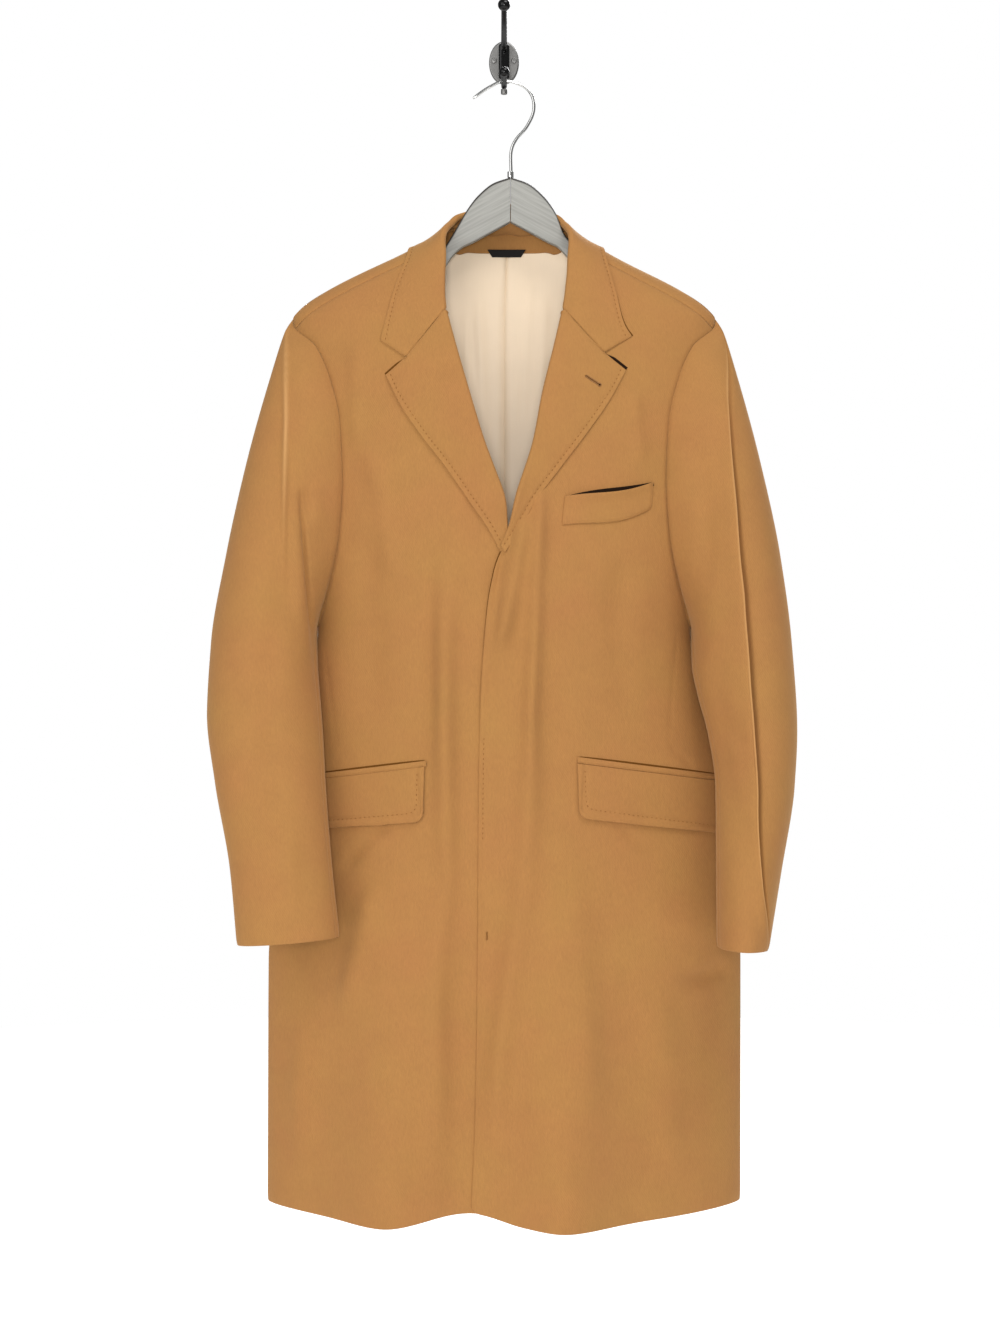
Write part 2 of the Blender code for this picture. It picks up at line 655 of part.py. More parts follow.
def make_sleeve_piece(name, skins, first, last, material):
    """The part of a sleeve between two of its long seams."""
    steps = np.arange(first, last + 1) % SLEEVE_SIDES
    grids = [
        drawn_in(skin[:, steps], first_row=HALF_GAP, first_column=HALF_GAP, last_column=HALF_GAP)
        for skin in skins
    ]
    return wall(name, grids[0], grids[1], material)


def rolled_row(fold, edge_points, away, normal, thick):
    """One row of a lapel or collar: round the roll from underneath, then on to the edge.

    fold is the outer point on top of the roll, away points from the edge to the roll and normal points outwards.
    """
    skins = []
    for depth in (0.0, thick):
        radius = ROLL_RADIUS - depth
        row = []
        for angle in ROLL_ANGLES:
            turn = math.radians(angle)
            row.append(fold + away * radius * math.cos(turn) + normal * (radius * math.sin(turn) - ROLL_RADIUS))
        row += [point - normal * depth for point in edge_points]
        skins.append(row)
    return skins


def unit(vector):
    return vector / np.linalg.norm(vector)


def roll_frame(points, ahead, behind, inwards):
    """Directions at a roll: square to the roll line along the cloth, towards inwards, and out of the cloth."""
    along = unit(ahead - behind)
    across = points[1] - points[0]
    flat = np.cross(along, across)
    if np.linalg.norm(flat) < 0.3 * np.linalg.norm(across):
        flat = np.cross(along, -inwards)
    middle = np.array([0.0, -0.050, points[0][2] - 0.050])
    normal = unit(flat)
    normal = normal if np.dot(normal, points[0] - middle) > 0 else -normal
    away = unit(np.cross(normal, along))
    away = away if np.dot(away, inwards) > 0 else -away
    return away, normal


def lapel_xz(side, share, across):
    """Place of a lapel's point as seen from the front. The top row bends at the notch."""
    at = LAPEL_AT[side]
    roll = np.array([at["roll_x"](share), at["roll_z"](share)])
    edge = np.array([at["edge_x"](share), at["edge_z"](share)])
    straight = mix(roll, edge, across)
    notch = np.array(LEFT_NOTCH if side == "left" else RIGHT_NOTCH)
    gorge_share = GORGE_SHARES[GORGE_END]
    if across <= gorge_share:
        bent = mix(roll, notch, across / gorge_share)
    else:
        bent = mix(notch, edge, (across - gorge_share) / (1 - gorge_share))
    return mix(bent, straight, eased(0.0, 0.25, share))


def lapel_out(across):
    """Height of the lapel's outer skin over the front: high at the roll, lying down towards the edge."""
    top = 2 * ROLL_RADIUS + LIE_GAP
    return mix(EDGE_LIFT + FACE_CLOTH, top, (1 - across) ** 2)


def lapel_edge_points(side, share):
    points = []
    for across in GORGE_SHARES:
        away, z = lapel_xz(side, share, across)
        points.append(on_front(side, away, z, lapel_out(across)))
    return points


def lapel_frame(side, share):
    """Directions at a lapel's roll, which the collar shares at the gorge."""
    ahead = lapel_edge_points(side, min(share + 0.02, 1.0))[0]
    behind = lapel_edge_points(side, max(share - 0.02, 0.0))[0]
    inwards = np.array([-SIGN[side], 0.0, 0.0])
    return roll_frame(lapel_edge_points(side, share), ahead, behind, inwards)


def make_lapel(side, material):
    outer, inner = [], []
    for share in np.linspace(0, 1, LAPEL_ROWS + 1):
        points = lapel_edge_points(side, share)
        away, normal = lapel_frame(side, share)
        skins = rolled_row(points[0], points, away, normal, FACE_CLOTH)
        outer.append(skins[0])
        inner.append(skins[1])
    outer = drawn_in(outer, first_row=2 * HALF_GAP)
    inner = drawn_in(inner, first_row=2 * HALF_GAP)
    return wall(f"lapel_{side}", outer, inner, material)


def collar_edge_points(side, share):
    """Outer skin of one collar row from its fold to its edge."""
    if share == 0:
        points = lapel_edge_points(side, 0.0)[: GORGE_END + 1]
        notch = np.array(LEFT_NOTCH if side == "left" else RIGHT_NOTCH)
        tip = np.array(LEFT_COLLAR_TIP if side == "left" else RIGHT_COLLAR_TIP)
        gorge_share = GORGE_SHARES[GORGE_END]
        for across in GORGE_SHARES[GORGE_END + 1 :]:
            away, z = mix(notch, tip, (across - gorge_share) / (1 - gorge_share))
            points.append(on_front(side, away, z, lapel_out(across)))
        return points
    at = COLLAR_AT
    points = []
    for across in GORGE_SHARES:
        away = mix(at["fold_x"](share), at["edge_x"](share), across)
        over = mix(at["fold_over"](share), at["edge_over"](share), across)
        lift = COLLAR_LIFT * 4 * across * (1 - across)
        lift += COLLAR_RIDGE_LIFT * across * math.exp(-(over**2))
        points.append(over_shoulder(side, away, over, lapel_out(across) + lift))
    return points


def collar_rows(side):
    """Skins of one half of the collar, from the gorge to the middle of the back."""
    folds = [collar_edge_points(side, share) for share in COLLAR_FRONT_SHARES + COLLAR_NECK_SHARES]
    rows = []
    for i, points in enumerate(folds):
        ahead = folds[min(i + 1, len(folds) - 1)][0]
        behind = folds[max(i - 1, 0)][0]
        if i == len(folds) - 1:
            ahead = behind * np.array([-1.0, 1.0, 1.0])
        away, normal = roll_frame(points, ahead, behind, points[0] - points[2])
        if i == 0:
            away, normal = lapel_frame(side, 0.0)
        rows.append(rolled_row(points[0], points, away, normal, FACE_CLOTH))
    return rows


def make_collar_fall(material):
    left = collar_rows("left")
    right = collar_rows("right")
    rows = left + right[-2::-1]
    outer = drawn_in([row[0] for row in rows], first_row=HALF_GAP, last_row=HALF_GAP)
    inner = drawn_in([row[1] for row in rows], first_row=HALF_GAP, last_row=HALF_GAP)
    return wall("collar_fall", outer, inner, material)


def make_collar_stand(material):
    """Band that stands up from the back's neckline to just under the collar's roll."""
    skins = []
    for out in (-LIE_GAP, -LIE_GAP - FACE_CLOTH):
        rows = []
        for side in ("left", "right"):
            half = []
            for i, share in enumerate(COLLAR_NECK_SHARES):
                fold = np.array([COLLAR_AT["fold_x"](share), COLLAR_AT["fold_over"](share)])
                neck = neck_away(len(COLLAR_NECK_SHARES) - 1 - i)
                seam = np.array([neck, neck_over(neck)])
                half.append([over_shoulder(side, *mix(fold, seam, down), out) for down in (0.0, 0.5, 1.0)])
            rows += half if side == "left" else half[-2::-1]
        skins.append(drawn_in(rows, last_column=2 * HALF_GAP))
    return wall("collar_stand", skins[0], skins[1], material)


def inside_back(side, out, rows, columns):
    """Part of the back's grid, moved inwards, for a piece that lies against its inside."""
    return back_grid(side, out, trimmed=False)[rows, columns]


def make_facing(material):
    """Band on the inside of the back, under the collar stand."""
    first_out = -(CLOTH + LIE_GAP)
    rows = slice(0, FACING_ROW + 1)
    columns = slice(0, FACING_COLUMN + 1)
    skins = []
    for out in (first_out, first_out - LINING_CLOTH):
        left = inside_back("left", out, rows, columns)[:, ::-1]
        right = inside_back("right", out, rows, columns)[:, 1:]
        skins.append(drawn_in(np.concatenate([left, right], axis=1), last_row=HALF_GAP))
    return wall("back_neck_facing", skins[0], skins[1], material)


def make_lining(side, material):
    """Half of the back lining, from the facing to just above the hem and just short of the seams."""
    first_out = -(CLOTH + LIE_GAP)
    rows = slice(FACING_ROW, -LINING_SHORT_ROWS)
    columns = slice(0, -LINING_SHORT_COLUMNS)
    skins = []
    for out in (first_out, first_out - LINING_CLOTH):
        skins.append(drawn_in(inside_back(side, out, rows, columns), first_row=HALF_GAP, first_column=HALF_GAP))
    return wall(f"lining_{side}", skins[0], skins[1], material)


def make_label(material):
    """Plain label on the lining, under the facing, wider at its top."""
    first_out = -(CLOTH + 2 * LIE_GAP + LINING_CLOTH)
    skins = []
    for out in (first_out, first_out - LINING_CLOTH):
        grid = []
        for z, half in ((LABEL_TOP, LABEL_TOP_HALF), (LABEL_FOOT, LABEL_FOOT_HALF)):
            row = []
            for share in np.linspace(-1, 1, 5):
                x = LABEL_MIDDLE + half * share
                side = "left" if x < 0 else "right"
                row.append(on_back(side, abs(x), z, out))
            grid.append(row)
        skins.append(np.array(grid))
    return wall("neck_label", skins[0], skins[1], material)


def surface_of(grid):
    """Search tree of a panel's outer facets, to lay other pieces on them."""
    rows, columns = grid.shape[:2]
    points = [Vector(point) for point in grid.reshape(-1, 3)]
    faces = []
    for r in range(rows - 1):
        for c in range(columns - 1):
            corner = r * columns + c
            faces.append((corner, corner + 1, corner + columns + 1, corner + columns))
    return BVHTree.FromPolygons(points, faces)


def laid_on(surface, x, z, out):
    """Point in front of the panel's facets by out, as seen straight from the front."""
    hit = surface.ray_cast(Vector((x, -1.0, z)), Vector((0.0, 1.0, 0.0)))[0]
    return np.array([x, hit.y - out, z])


def make_patch(name, side, corners, surface, material, rounded=0.0, rows=2):
    """Pocket piece laid on a front: a four-cornered strip, with its lower inner corner rounded off."""
    inner_top, outer_top, outer_foot, inner_foot = (np.array(corner) for corner in corners)
    skins = []
    shares = 1 - np.linspace(1, 0, PATCH_COLUMNS + 1) ** 1.4
    for out in (PATCH_GAP + FACE_CLOTH, PATCH_GAP):
        grid = []
        for down in np.linspace(0, 1, rows + 1):
            row = []
            for share in shares:
                top = mix(inner_top, outer_top, share)
                foot = mix(inner_foot, outer_foot, share)
                if share == 0:
                    foot = foot + np.array([0.0, rounded])
                away, z = mix(top, foot, down)
                row.append(laid_on(surface, SIGN[side] * away, z, out))
            grid.append(row)
        skins.append(np.array(grid))
    return wall(name, skins[0], skins[1], material)


def hanger_outline(side):
    """Outline of one half of the hanger as seen from the front: along its top, round its end and back underneath."""
    far = HANGER_HALF
    aways = [far * (i / HANGER_STEPS) ** 1.3 for i in range(HANGER_STEPS + 1)]

    def top(away):
        coat_away = away + SIGN[side] * HANGER_X
        under_cloth = ridge_z(max(coat_away, 0.0)) - HANGER_DROP_AT(coat_away)
        if away > HANGER_HEAD[-1][0]:
            return under_cloth
        head = HANGER_HEAD_AT(away)
        return mix(head, min(head, under_cloth), eased(0.032, 0.041, coat_away))

    def foot(away):
        arm = top(away) - HANGER_ARM
        slope = HANGER_NOTCH - away * RIDGE_FALL
        return mix(slope, arm, eased(0.040, 0.090, away))

    upper = [(away, top(away)) for away in aways]
    lower = [(away, foot(away)) for away in reversed(aways)]
    middle = (upper[-1][1] + lower[0][1]) / 2
    radius = (upper[-1][1] - lower[0][1]) / 2
    end = []
    for angle in (60, 20, -20, -60):
        turn = math.radians(angle)
        end.append((far + 0.5 * radius * math.cos(turn), middle + radius * math.sin(turn)))
    return upper + end + lower


def make_hanger_arm(side, material):
    points = hanger_outline(side)
    curve = bpy.data.curves.new(f"hanger_arm_{side}", "CURVE")
    curve.dimensions = "2D"
    curve.fill_mode = "BOTH"
    curve.extrude = HANGER_THICK / 2
    spline = curve.splines.new("POLY")
    spline.points.add(len(points) - 1)
    spline.use_cyclic_u = True
    for point, (away, z) in zip(spline.points, points):
        point.co = (SIGN[side] * (away + MESH_GAP / 2), z, 0.0, 1.0)
    arm = bpy.data.objects.new(curve.name, curve)
    bpy.context.scene.collection.objects.link(arm)
    place(arm, material)
    arm.location = (HANGER_X, HANGER_Y, 0.0)
    arm.rotation_euler = (math.pi / 2, 0.0, 0.0)
    return arm


def smooth_route(points, steps):
    """Evenly counted points on a smooth curve through a route's own points."""
    points = [np.array(point, float) for point in points]
    spans = [np.linalg.norm(b - a) for a, b in zip(points, points[1:])]
    keys = np.concatenate([[0.0], np.cumsum(spans)])
    padded = [2 * points[0] - points[1]] + points + [2 * points[-1] - points[-2]]
    route = []
    for length in np.linspace(0, keys[-1], steps + 1):
        i = min(int(np.searchsorted(keys, length, side="right")) - 1, len(spans) - 1)
        t = (length - keys[i]) / spans[i]
        a, b, c, d = padded[i : i + 4]
        bend = (2 * a - 5 * b + 4 * c - d) * t * t + (3 * b - 3 * c + d - a) * t**3
        route.append(0.5 * (2 * b + (c - a) * t + bend))
    return route


def make_tube(name, points, radius, material):
    curve = bpy.data.curves.new(name, "CURVE")
    curve.dimensions = "3D"
    curve.bevel_depth = radius
    curve.bevel_resolution = 2
    curve.use_fill_caps = True
    spline = curve.splines.new("POLY")
    spline.points.add(len(points) - 1)
    for knot, point in zip(spline.points, points):
        knot.co = (*point, 1.0)
    tube = bpy.data.objects.new(name, curve)
    bpy.context.scene.collection.objects.link(tube)
    return place(tube, material)


def meshed(obj):
    """The object as a plain closed mesh, with a curve's loose caps welded on."""
    bpy.context.view_layer.update()
    graph = bpy.context.evaluated_depsgraph_get()
    data = bpy.data.meshes.new_from_object(obj.evaluated_get(graph))
    mesh = bmesh.new()
    mesh.from_mesh(data)
    bmesh.ops.remove_doubles(mesh, verts=mesh.verts, dist=1e-6)
    bmesh.ops.recalc_face_normals(mesh, faces=mesh.faces)
    mesh.to_mesh(data)
    mesh.free()
    name = obj.name
    solid = bpy.data.objects.new(f"{name}_mesh", data)
    bpy.context.scene.collection.objects.link(solid)
    solid.matrix_world = obj.matrix_world
    bpy.data.objects.remove(obj)
    solid.name = name
    return solid


def add_ball(name, radius, location):
    bpy.ops.mesh.primitive_uv_sphere_add(
        segments=BALL_SEGMENTS, ring_count=BALL_SEGMENTS // 2 + 1, radius=radius, location=location
    )
    ball = bpy.context.active_object
    ball.name = name
    ball.data.shade_smooth()
    return ball


def make_ball_arm(name, route, ball_place, ball_radius, material):
    """One arm of the wall hook: a bent bar joined to the ball at its end."""
    points = smooth_route([(0.0, y, z) for y, z in route], ARM_STEPS)
    bar = meshed(make_tube(name, points, ARM_RADIUS, material))
    ball = add_ball(f"{name}_ball", ball_radius, (0.0, *ball_place))
    ball.hide_render = True
    ball.display_type = "WIRE"
    for collection in list(ball.users_collection):
        collection.objects.unlink(ball)
    bpy.data.collections["cutters"].objects.link(ball)
    union = bar.modifiers.new("ball", "BOOLEAN")
    union.operation = "UNION"
    union.object = ball
    return place(bar, material)


def make_cylinder(name, radius, depth, location, material, axis="Z", segments=16):
    turn = (math.pi / 2, 0.0, 0.0) if axis == "Y" else (0.0, 0.0, 0.0)
    bpy.ops.mesh.primitive_cylinder_add(
        vertices=segments, radius=radius, depth=depth, location=location, rotation=turn
    )
    cylinder = bpy.context.active_object
    cylinder.name = name
    return place(cylinder, material)


def make_plate(material):
    """Oval back plate, flat against the wall, with a softened front edge."""
    plate = make_cylinder("hook_plate", 0.5, PLATE_THICK, (0.0, -PLATE_THICK / 2, 0.0), material, "Y", 28)
    plate.data.transform(Matrix.Diagonal((PLATE_WIDE, PLATE_TALL, 1.0, 1.0)))
    bevel = plate.modifiers.new("soft_edge", "BEVEL")
    bevel.width = PLATE_BEVEL
    bevel.segments = 1
    bevel.limit_method = "WEIGHT"
    weights = plate.data.attributes.new("bevel_weight_edge", "FLOAT", "EDGE")
    for edge in plate.data.edges:
        ends = [plate.matrix_basis @ plate.data.vertices[i].co for i in edge.vertices]
        weights.data[edge.index].value = 1.0 if max(end.y for end in ends) < -PLATE_THICK / 2 else 0.0
    return plate


def make_screw(side, material):
    """Domed screw head on the plate."""
    height = SCREW_HEIGHT
    screw = make_cylinder(
        f"hook_screw_{side}",
        SCREW_RADIUS,
        height,
        (SIGN[side] * SCREW_X, -PLATE_THICK - MESH_GAP - height / 2, SCREW_Z),
        material,
        "Y",
    )
    bevel = screw.modifiers.new("dome", "BEVEL")
    bevel.width = height * 0.45
    bevel.segments = 2
    bevel.limit_method = "ANGLE"
    return screw


def make_boss(material):
    """Raised rib up the middle of the plate, from which both arms grow."""
    bpy.ops.mesh.primitive_cube_add(size=1.0, location=(0.0, -PLATE_THICK - MESH_GAP - BOSS_THICK / 2, 0.0))
    boss = bpy.context.active_object
    boss.name = "hook_boss"
    boss.scale = (BOSS_WIDE, BOSS_THICK, BOSS_TALL)
    bpy.ops.object.transform_apply(location=False, rotation=False, scale=True)
    bevel = boss.modifiers.new("rounded", "BEVEL")
    bevel.width = 0.0028
    bevel.segments = 2
    return place(boss, material)


def clear_scene():
    for obj in list(bpy.data.objects):
        bpy.data.objects.remove(obj)


def make_collections():
    for name in (OBJECT_NAME, "cutters"):
        collection = bpy.data.collections.new(name)
        bpy.context.scene.collection.children.link(collection)
    hang_point = bpy.data.objects.new("hang_point", None)
    bpy.data.collections[OBJECT_NAME].objects.link(hang_point)


def make_coat():
    wool = principled("camel_wool", "BC874F", 0.85)
    lining = principled("cream_lining", "E2CAB0", 0.45)
    black = principled("black_label", "1C1B1A", 0.7)
    fronts = {}
    for side in ("left", "right"):
        outer = front_grid(side, 0.0)
        fronts[side] = surface_of(outer)
        wall(f"front_{side}", outer, front_grid(side, -CLOTH), wool)
        wall(f"back_{side}", back_grid(side, 0.0), back_grid(side, -CLOTH), wool)
        around = {
            "top_sleeve": (BACK_SEAM_SIDE, SLEEVE_SIDES + FRONT_SEAM_SIDE),
            "under_sleeve": (FRONT_SEAM_SIDE, BACK_SEAM_SIDE),
        }
        skins = sleeve_skins(side)
        for piece, (first, last) in around.items():
            make_sleeve_piece(f"{piece}_{side}", skins, first, last, wool)
        make_lapel(side, wool)
        make_lining(side, lining)
    make_collar_fall(wool)
    make_collar_stand(wool)
    make_facing(wool)
    make_label(black)
    make_patch("breast_welt", "right", BREAST_WELT, fronts["right"], wool)
    make_patch("flap_left", "left", LEFT_FLAP, fronts["left"], wool, FLAP_ROUND, 3)
    make_patch("flap_right", "right", RIGHT_FLAP, fronts["right"], wool, FLAP_ROUND, 3)
    make_patch("jet_left", "left", LEFT_JET, fronts["left"], wool, rows=1)
    make_patch("jet_right", "right", RIGHT_JET, fronts["right"], wool, rows=1)


def make_hanger():
    wood = principled("grey_washed_wood", "B4B3AC", 0.6)
    chrome = principled("chrome_wire", "C8C8C8", 0.2, 1.0)
    for side in ("left", "right"):
        make_hanger_arm(side, wood)
    ferrule_foot = HANGER_HEAD[0][1] + MESH_GAP
    make_cylinder(
        "hanger_ferrule",
        FERRULE_RADIUS,
        FERRULE_TOP - ferrule_foot,
        (HANGER_X, HANGER_Y, (FERRULE_TOP + ferrule_foot) / 2),
        chrome,
    )
    route = smooth_route([(x, HANGER_Y, z) for x, z in WIRE_ROUTE], WIRE_STEPS)
    make_tube("hanger_hook", route, WIRE_RADIUS, chrome)


def make_wall_hook():
    black = principled("black_enamel", "262625", 0.35)
    grey = principled("grey_plate", "8D8C8A", 0.4, 0.6)
    make_plate(grey)
    make_boss(black)
    for side in ("left", "right"):
        make_screw(side, grey)
    make_ball_arm("hook_upper_arm", UPPER_ROUTE, UPPER_BALL, UPPER_BALL_RADIUS, black)
    make_ball_arm("hook_lower_arm", LOWER_ROUTE, LOWER_BALL, LOWER_BALL_RADIUS, black)
    lowest = LOWER_ROUTE[3]
    peg_z = lowest[1] - ARM_RADIUS - MESH_GAP - PEG_TALL / 2
    make_cylinder("hook_peg", PEG_RADIUS, PEG_TALL, (0.0, lowest[0], peg_z), grey)


def main():
    clear_scene()
    make_collections()
    make_coat()
    make_hanger()
    make_wall_hook()


main()
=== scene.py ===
"""Looks of a camel wool topcoat on a washed wooden hanger and a black wall hook.

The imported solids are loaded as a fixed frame. Each cloth piece is made again as a thin shell on its solid's
own form, with creases, pressed seams and hand stitching. The hanger and the hook are modelled again with
softened edges. Metres, +Z up, the coat's front faces -Y. Left and right are the viewer's.
"""

import json
import math

import bmesh
import bpy
import numpy as np
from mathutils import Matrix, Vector
from mathutils.bvhtree import BVHTree

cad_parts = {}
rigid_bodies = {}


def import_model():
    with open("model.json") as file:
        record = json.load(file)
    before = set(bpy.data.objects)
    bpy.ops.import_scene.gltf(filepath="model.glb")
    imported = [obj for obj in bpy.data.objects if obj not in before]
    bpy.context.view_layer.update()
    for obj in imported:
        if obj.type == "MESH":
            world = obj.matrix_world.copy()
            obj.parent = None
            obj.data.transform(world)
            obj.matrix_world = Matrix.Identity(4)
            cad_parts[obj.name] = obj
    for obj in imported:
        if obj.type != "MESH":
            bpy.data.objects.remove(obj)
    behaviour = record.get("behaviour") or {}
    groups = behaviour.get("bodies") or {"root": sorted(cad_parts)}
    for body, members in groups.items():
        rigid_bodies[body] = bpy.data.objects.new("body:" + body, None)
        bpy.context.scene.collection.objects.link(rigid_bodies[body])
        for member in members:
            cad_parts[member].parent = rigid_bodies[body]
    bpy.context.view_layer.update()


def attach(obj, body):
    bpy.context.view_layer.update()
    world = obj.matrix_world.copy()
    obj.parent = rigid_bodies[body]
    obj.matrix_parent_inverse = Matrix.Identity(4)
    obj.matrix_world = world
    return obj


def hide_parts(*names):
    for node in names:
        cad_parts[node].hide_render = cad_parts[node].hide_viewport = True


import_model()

bl_info = {
    "name": "Camel topcoat",
    "version": (1, 0, 0),
    "blender": (4, 5, 0),
    "location": "3D View > Sidebar > Topcoat",
    "description": "Builds a hanging wool topcoat, its hanger, its wall hook and a plain studio round them",
    "category": "Object",
}

SIGN = {"left": -1.0, "right": 1.0}
SIDES = ("left", "right")
FORWARDS = np.array([0.0, -1.0, 0.0])
BACKWARDS = -FORWARDS

# Shoulder ridge: its fall for each unit outwards, and how the seam lines step down from it
RIDGE_FALL = 0.545
RIDGE_STEP = 0.0084
# Heights between which the sides pass into the sloping shoulders
SHOULDER_HEIGHTS = (-0.300, -0.270)

# Body sections from the neck to below the hem: half widths, the side seam's place, depths to front and back,
# and fullness, which is 0.5 for an ellipse
BODY_COLUMNS = ("height", "left", "right", "side_y", "front", "back", "fullness")
BODY_SECTIONS = (
    (-0.1480, 0.0020, 0.0020, -0.050, 0.026, 0.030, 0.50),
    (-0.1560, 0.0300, 0.0300, -0.050, 0.027, 0.030, 0.50),
    (-0.1680, 0.0475, 0.0475, -0.050, 0.029, 0.030, 0.50),
    (-0.1850, 0.0600, 0.0600, -0.050, 0.032, 0.030, 0.50),
    (-0.2050, 0.0821, 0.0821, -0.050, 0.036, 0.030, 0.50),
    (-0.2205, 0.1105, 0.1105, -0.050, 0.038, 0.030, 0.50),
    (-0.2831, 0.2254, 0.2254, -0.051, 0.053, 0.031, 0.50),
    (-0.2950, 0.2335, 0.2335, -0.052, 0.056, 0.032, 0.50),
    (-0.3600, 0.2310, 0.2310, -0.058, 0.067, 0.038, 0.52),
    (-0.4500, 0.2220, 0.2220, -0.070, 0.073, 0.050, 0.56),
    (-0.5500, 0.2110, 0.2110, -0.080, 0.078, 0.060, 0.62),
    (-0.6350, 0.2035, 0.2035, -0.085, 0.080, 0.065, 0.68),
    (-0.6800, 0.2085, 0.2090, -0.085, 0.081, 0.065, 0.70),
    (-0.7400, 0.2150, 0.2235, -0.085, 0.082, 0.065, 0.70),
    (-0.8000, 0.2250, 0.2430, -0.085, 0.082, 0.065, 0.70),
    (-0.9000, 0.2470, 0.2545, -0.085, 0.083, 0.065, 0.68),
    (-1.0000, 0.2576, 0.2585, -0.085, 0.086, 0.065, 0.66),
    (-1.2800, 0.2585, 0.2580, -0.085, 0.096, 0.065, 0.62),
)

# Soft folds of the skirt
SKIRT_FOLDS = (
    # face, top_x, foot_x, top_z, foot_z, width, height
    ("front", -0.105, -0.130, -0.80, -1.27, 0.055, 0.036),
    ("front", 0.050, 0.066, -0.76, -1.27, 0.050, 0.030),
    ("back", -0.120, -0.145, -0.74, -1.27, 0.040, -0.016),
    ("back", -0.020, -0.030, -0.70, -1.27, 0.045, -0.020),
    ("back", 0.085, 0.105, -0.78, -1.27, 0.045, -0.022),
)

# Armhole: distance of its front and back edges from the middle of the coat
ARMHOLE_TOP = -0.295
ARMHOLE_FOOT = -0.635
ARMHOLE_STEPS = 10
ARMHOLE_COLUMNS = ("height", "front", "back")
ARMHOLE = (
    (-0.2950, 0.2335, 0.2335),
    (-0.3033, 0.2315, 0.2305),
    (-0.3275, 0.2060, 0.2140),
    (-0.3650, 0.1890, 0.2000),
    (-0.4125, 0.1778, 0.1910),
    (-0.4800, 0.1746, 0.1865),
    (-0.5400, 0.1785, 0.1870),
    (-0.5850, 0.1875, 0.1915),
    (-0.6350, 0.2035, 0.2035),
)

# Front edge of each front, outwards from the middle
FRONT_EDGE_COLUMNS = ("height", "left", "right")
FRONT_EDGE = (
    (-0.2112, 0.0780, 0.0780),
    (-0.2450, 0.0680, 0.0680),
    (-0.2900, 0.0640, 0.0645),
    (-0.3350, 0.0530, 0.0550),
    (-0.3850, 0.0392, 0.0430),
    (-0.4350, 0.0250, 0.0340),
    (-0.4850, 0.0085, 0.0205),
    (-0.5270, -0.0020, 0.0095),
    (-0.5750, -0.0330, -0.0100),
    (-0.6200, -0.0460, -0.0180),
    (-0.7100, -0.0480, -0.0246),
    (-0.8000, -0.0480, -0.0268),
    (-0.9600, -0.0480, -0.0278),
    (-1.1400, -0.0460, -0.0300),
    (-1.2800, -0.0440, -0.0360),
)
SKIRT_STEPS = 11
LAP_DIP = 0.0031
LAP_TOP = -0.500
LAP_FULL = -0.527
# The left front is pressed back between these distances from the right front's edge
LAP_REACH = (0.050, 0.012)
HEM_CORNER = 0.010
# Step of the front's first row, which sets how far in front of the ridge the shoulder seam lies
SEAM_STEP = 1.16

# Hem height across the front, and its lift round the back
HEM_COLUMNS = ("across", "height")
FRONT_HEM = (
    (-0.2585, -1.2590),
    (-0.1900, -1.2640),
    (-0.1300, -1.2680),
    (-0.0360, -1.2545),
    (0.0200, -1.2670),
    (0.0660, -1.2715),
    (0.1600, -1.2660),
    (0.2580, -1.2580),
)
BACK_HEM_LIFT = 0.004
HEM_LEVEL = -1.26

# Sleeve sections from the armhole to the cuff
SLEEVE_COLUMNS = ("outer_x", "outer_z", "inner_x", "inner_z", "middle_y", "depth", "bow")
SLEEVE_SECTIONS = {
    "left": (
        (0.2335, -0.295, 0.2035, -0.635, -0.082, 0.052, 1.00),
        (0.2405, -0.308, 0.2035, -0.638, -0.083, 0.056, 0.80),
        (0.2590, -0.372, 0.2035, -0.646, -0.087, 0.061, 0.40),
        (0.2800, -0.455, 0.2030, -0.657, -0.094, 0.062, 0.12),
        (0.3010, -0.556, 0.2018, -0.678, -0.103, 0.060, 0.00),
        (0.3160, -0.650, 0.1985, -0.710, -0.115, 0.056, 0.00),
        (0.3190, -0.725, 0.1945, -0.750, -0.129, 0.052, 0.00),
        (0.3080, -0.802, 0.1898, -0.810, -0.151, 0.045, 0.00),
        (0.2905, -0.890, 0.1820, -0.890, -0.170, 0.039, 0.00),
        (0.2820, -0.971, 0.1735, -0.962, -0.180, 0.035, 0.00),
    ),
    "right": (
        (0.2335, -0.295, 0.2035, -0.635, -0.082, 0.052, 1.00),
        (0.2405, -0.308, 0.2035, -0.638, -0.083, 0.056, 0.80),
        (0.2585, -0.372, 0.2035, -0.646, -0.087, 0.062, 0.40),
        (0.2785, -0.455, 0.2032, -0.657, -0.095, 0.064, 0.12),
        (0.2985, -0.556, 0.2033, -0.678, -0.105, 0.062, 0.00),
        (0.3098, -0.650, 0.2095, -0.712, -0.116, 0.059, 0.00),
        (0.3140, -0.735, 0.2190, -0.752, -0.131, 0.057, 0.00),
        (0.3090, -0.806, 0.2250, -0.808, -0.151, 0.055, 0.00),
        (0.2925, -0.895, 0.2240, -0.895, -0.172, 0.053, 0.00),
        (0.2780, -0.974, 0.2235, -0.972, -0.186, 0.052, 0.00),
    ),
}
SLEEVE_STEPS = 2 * ARMHOLE_STEPS
FRONT_SEAM_STEP = 9.2
BACK_SEAM_STEP = 16

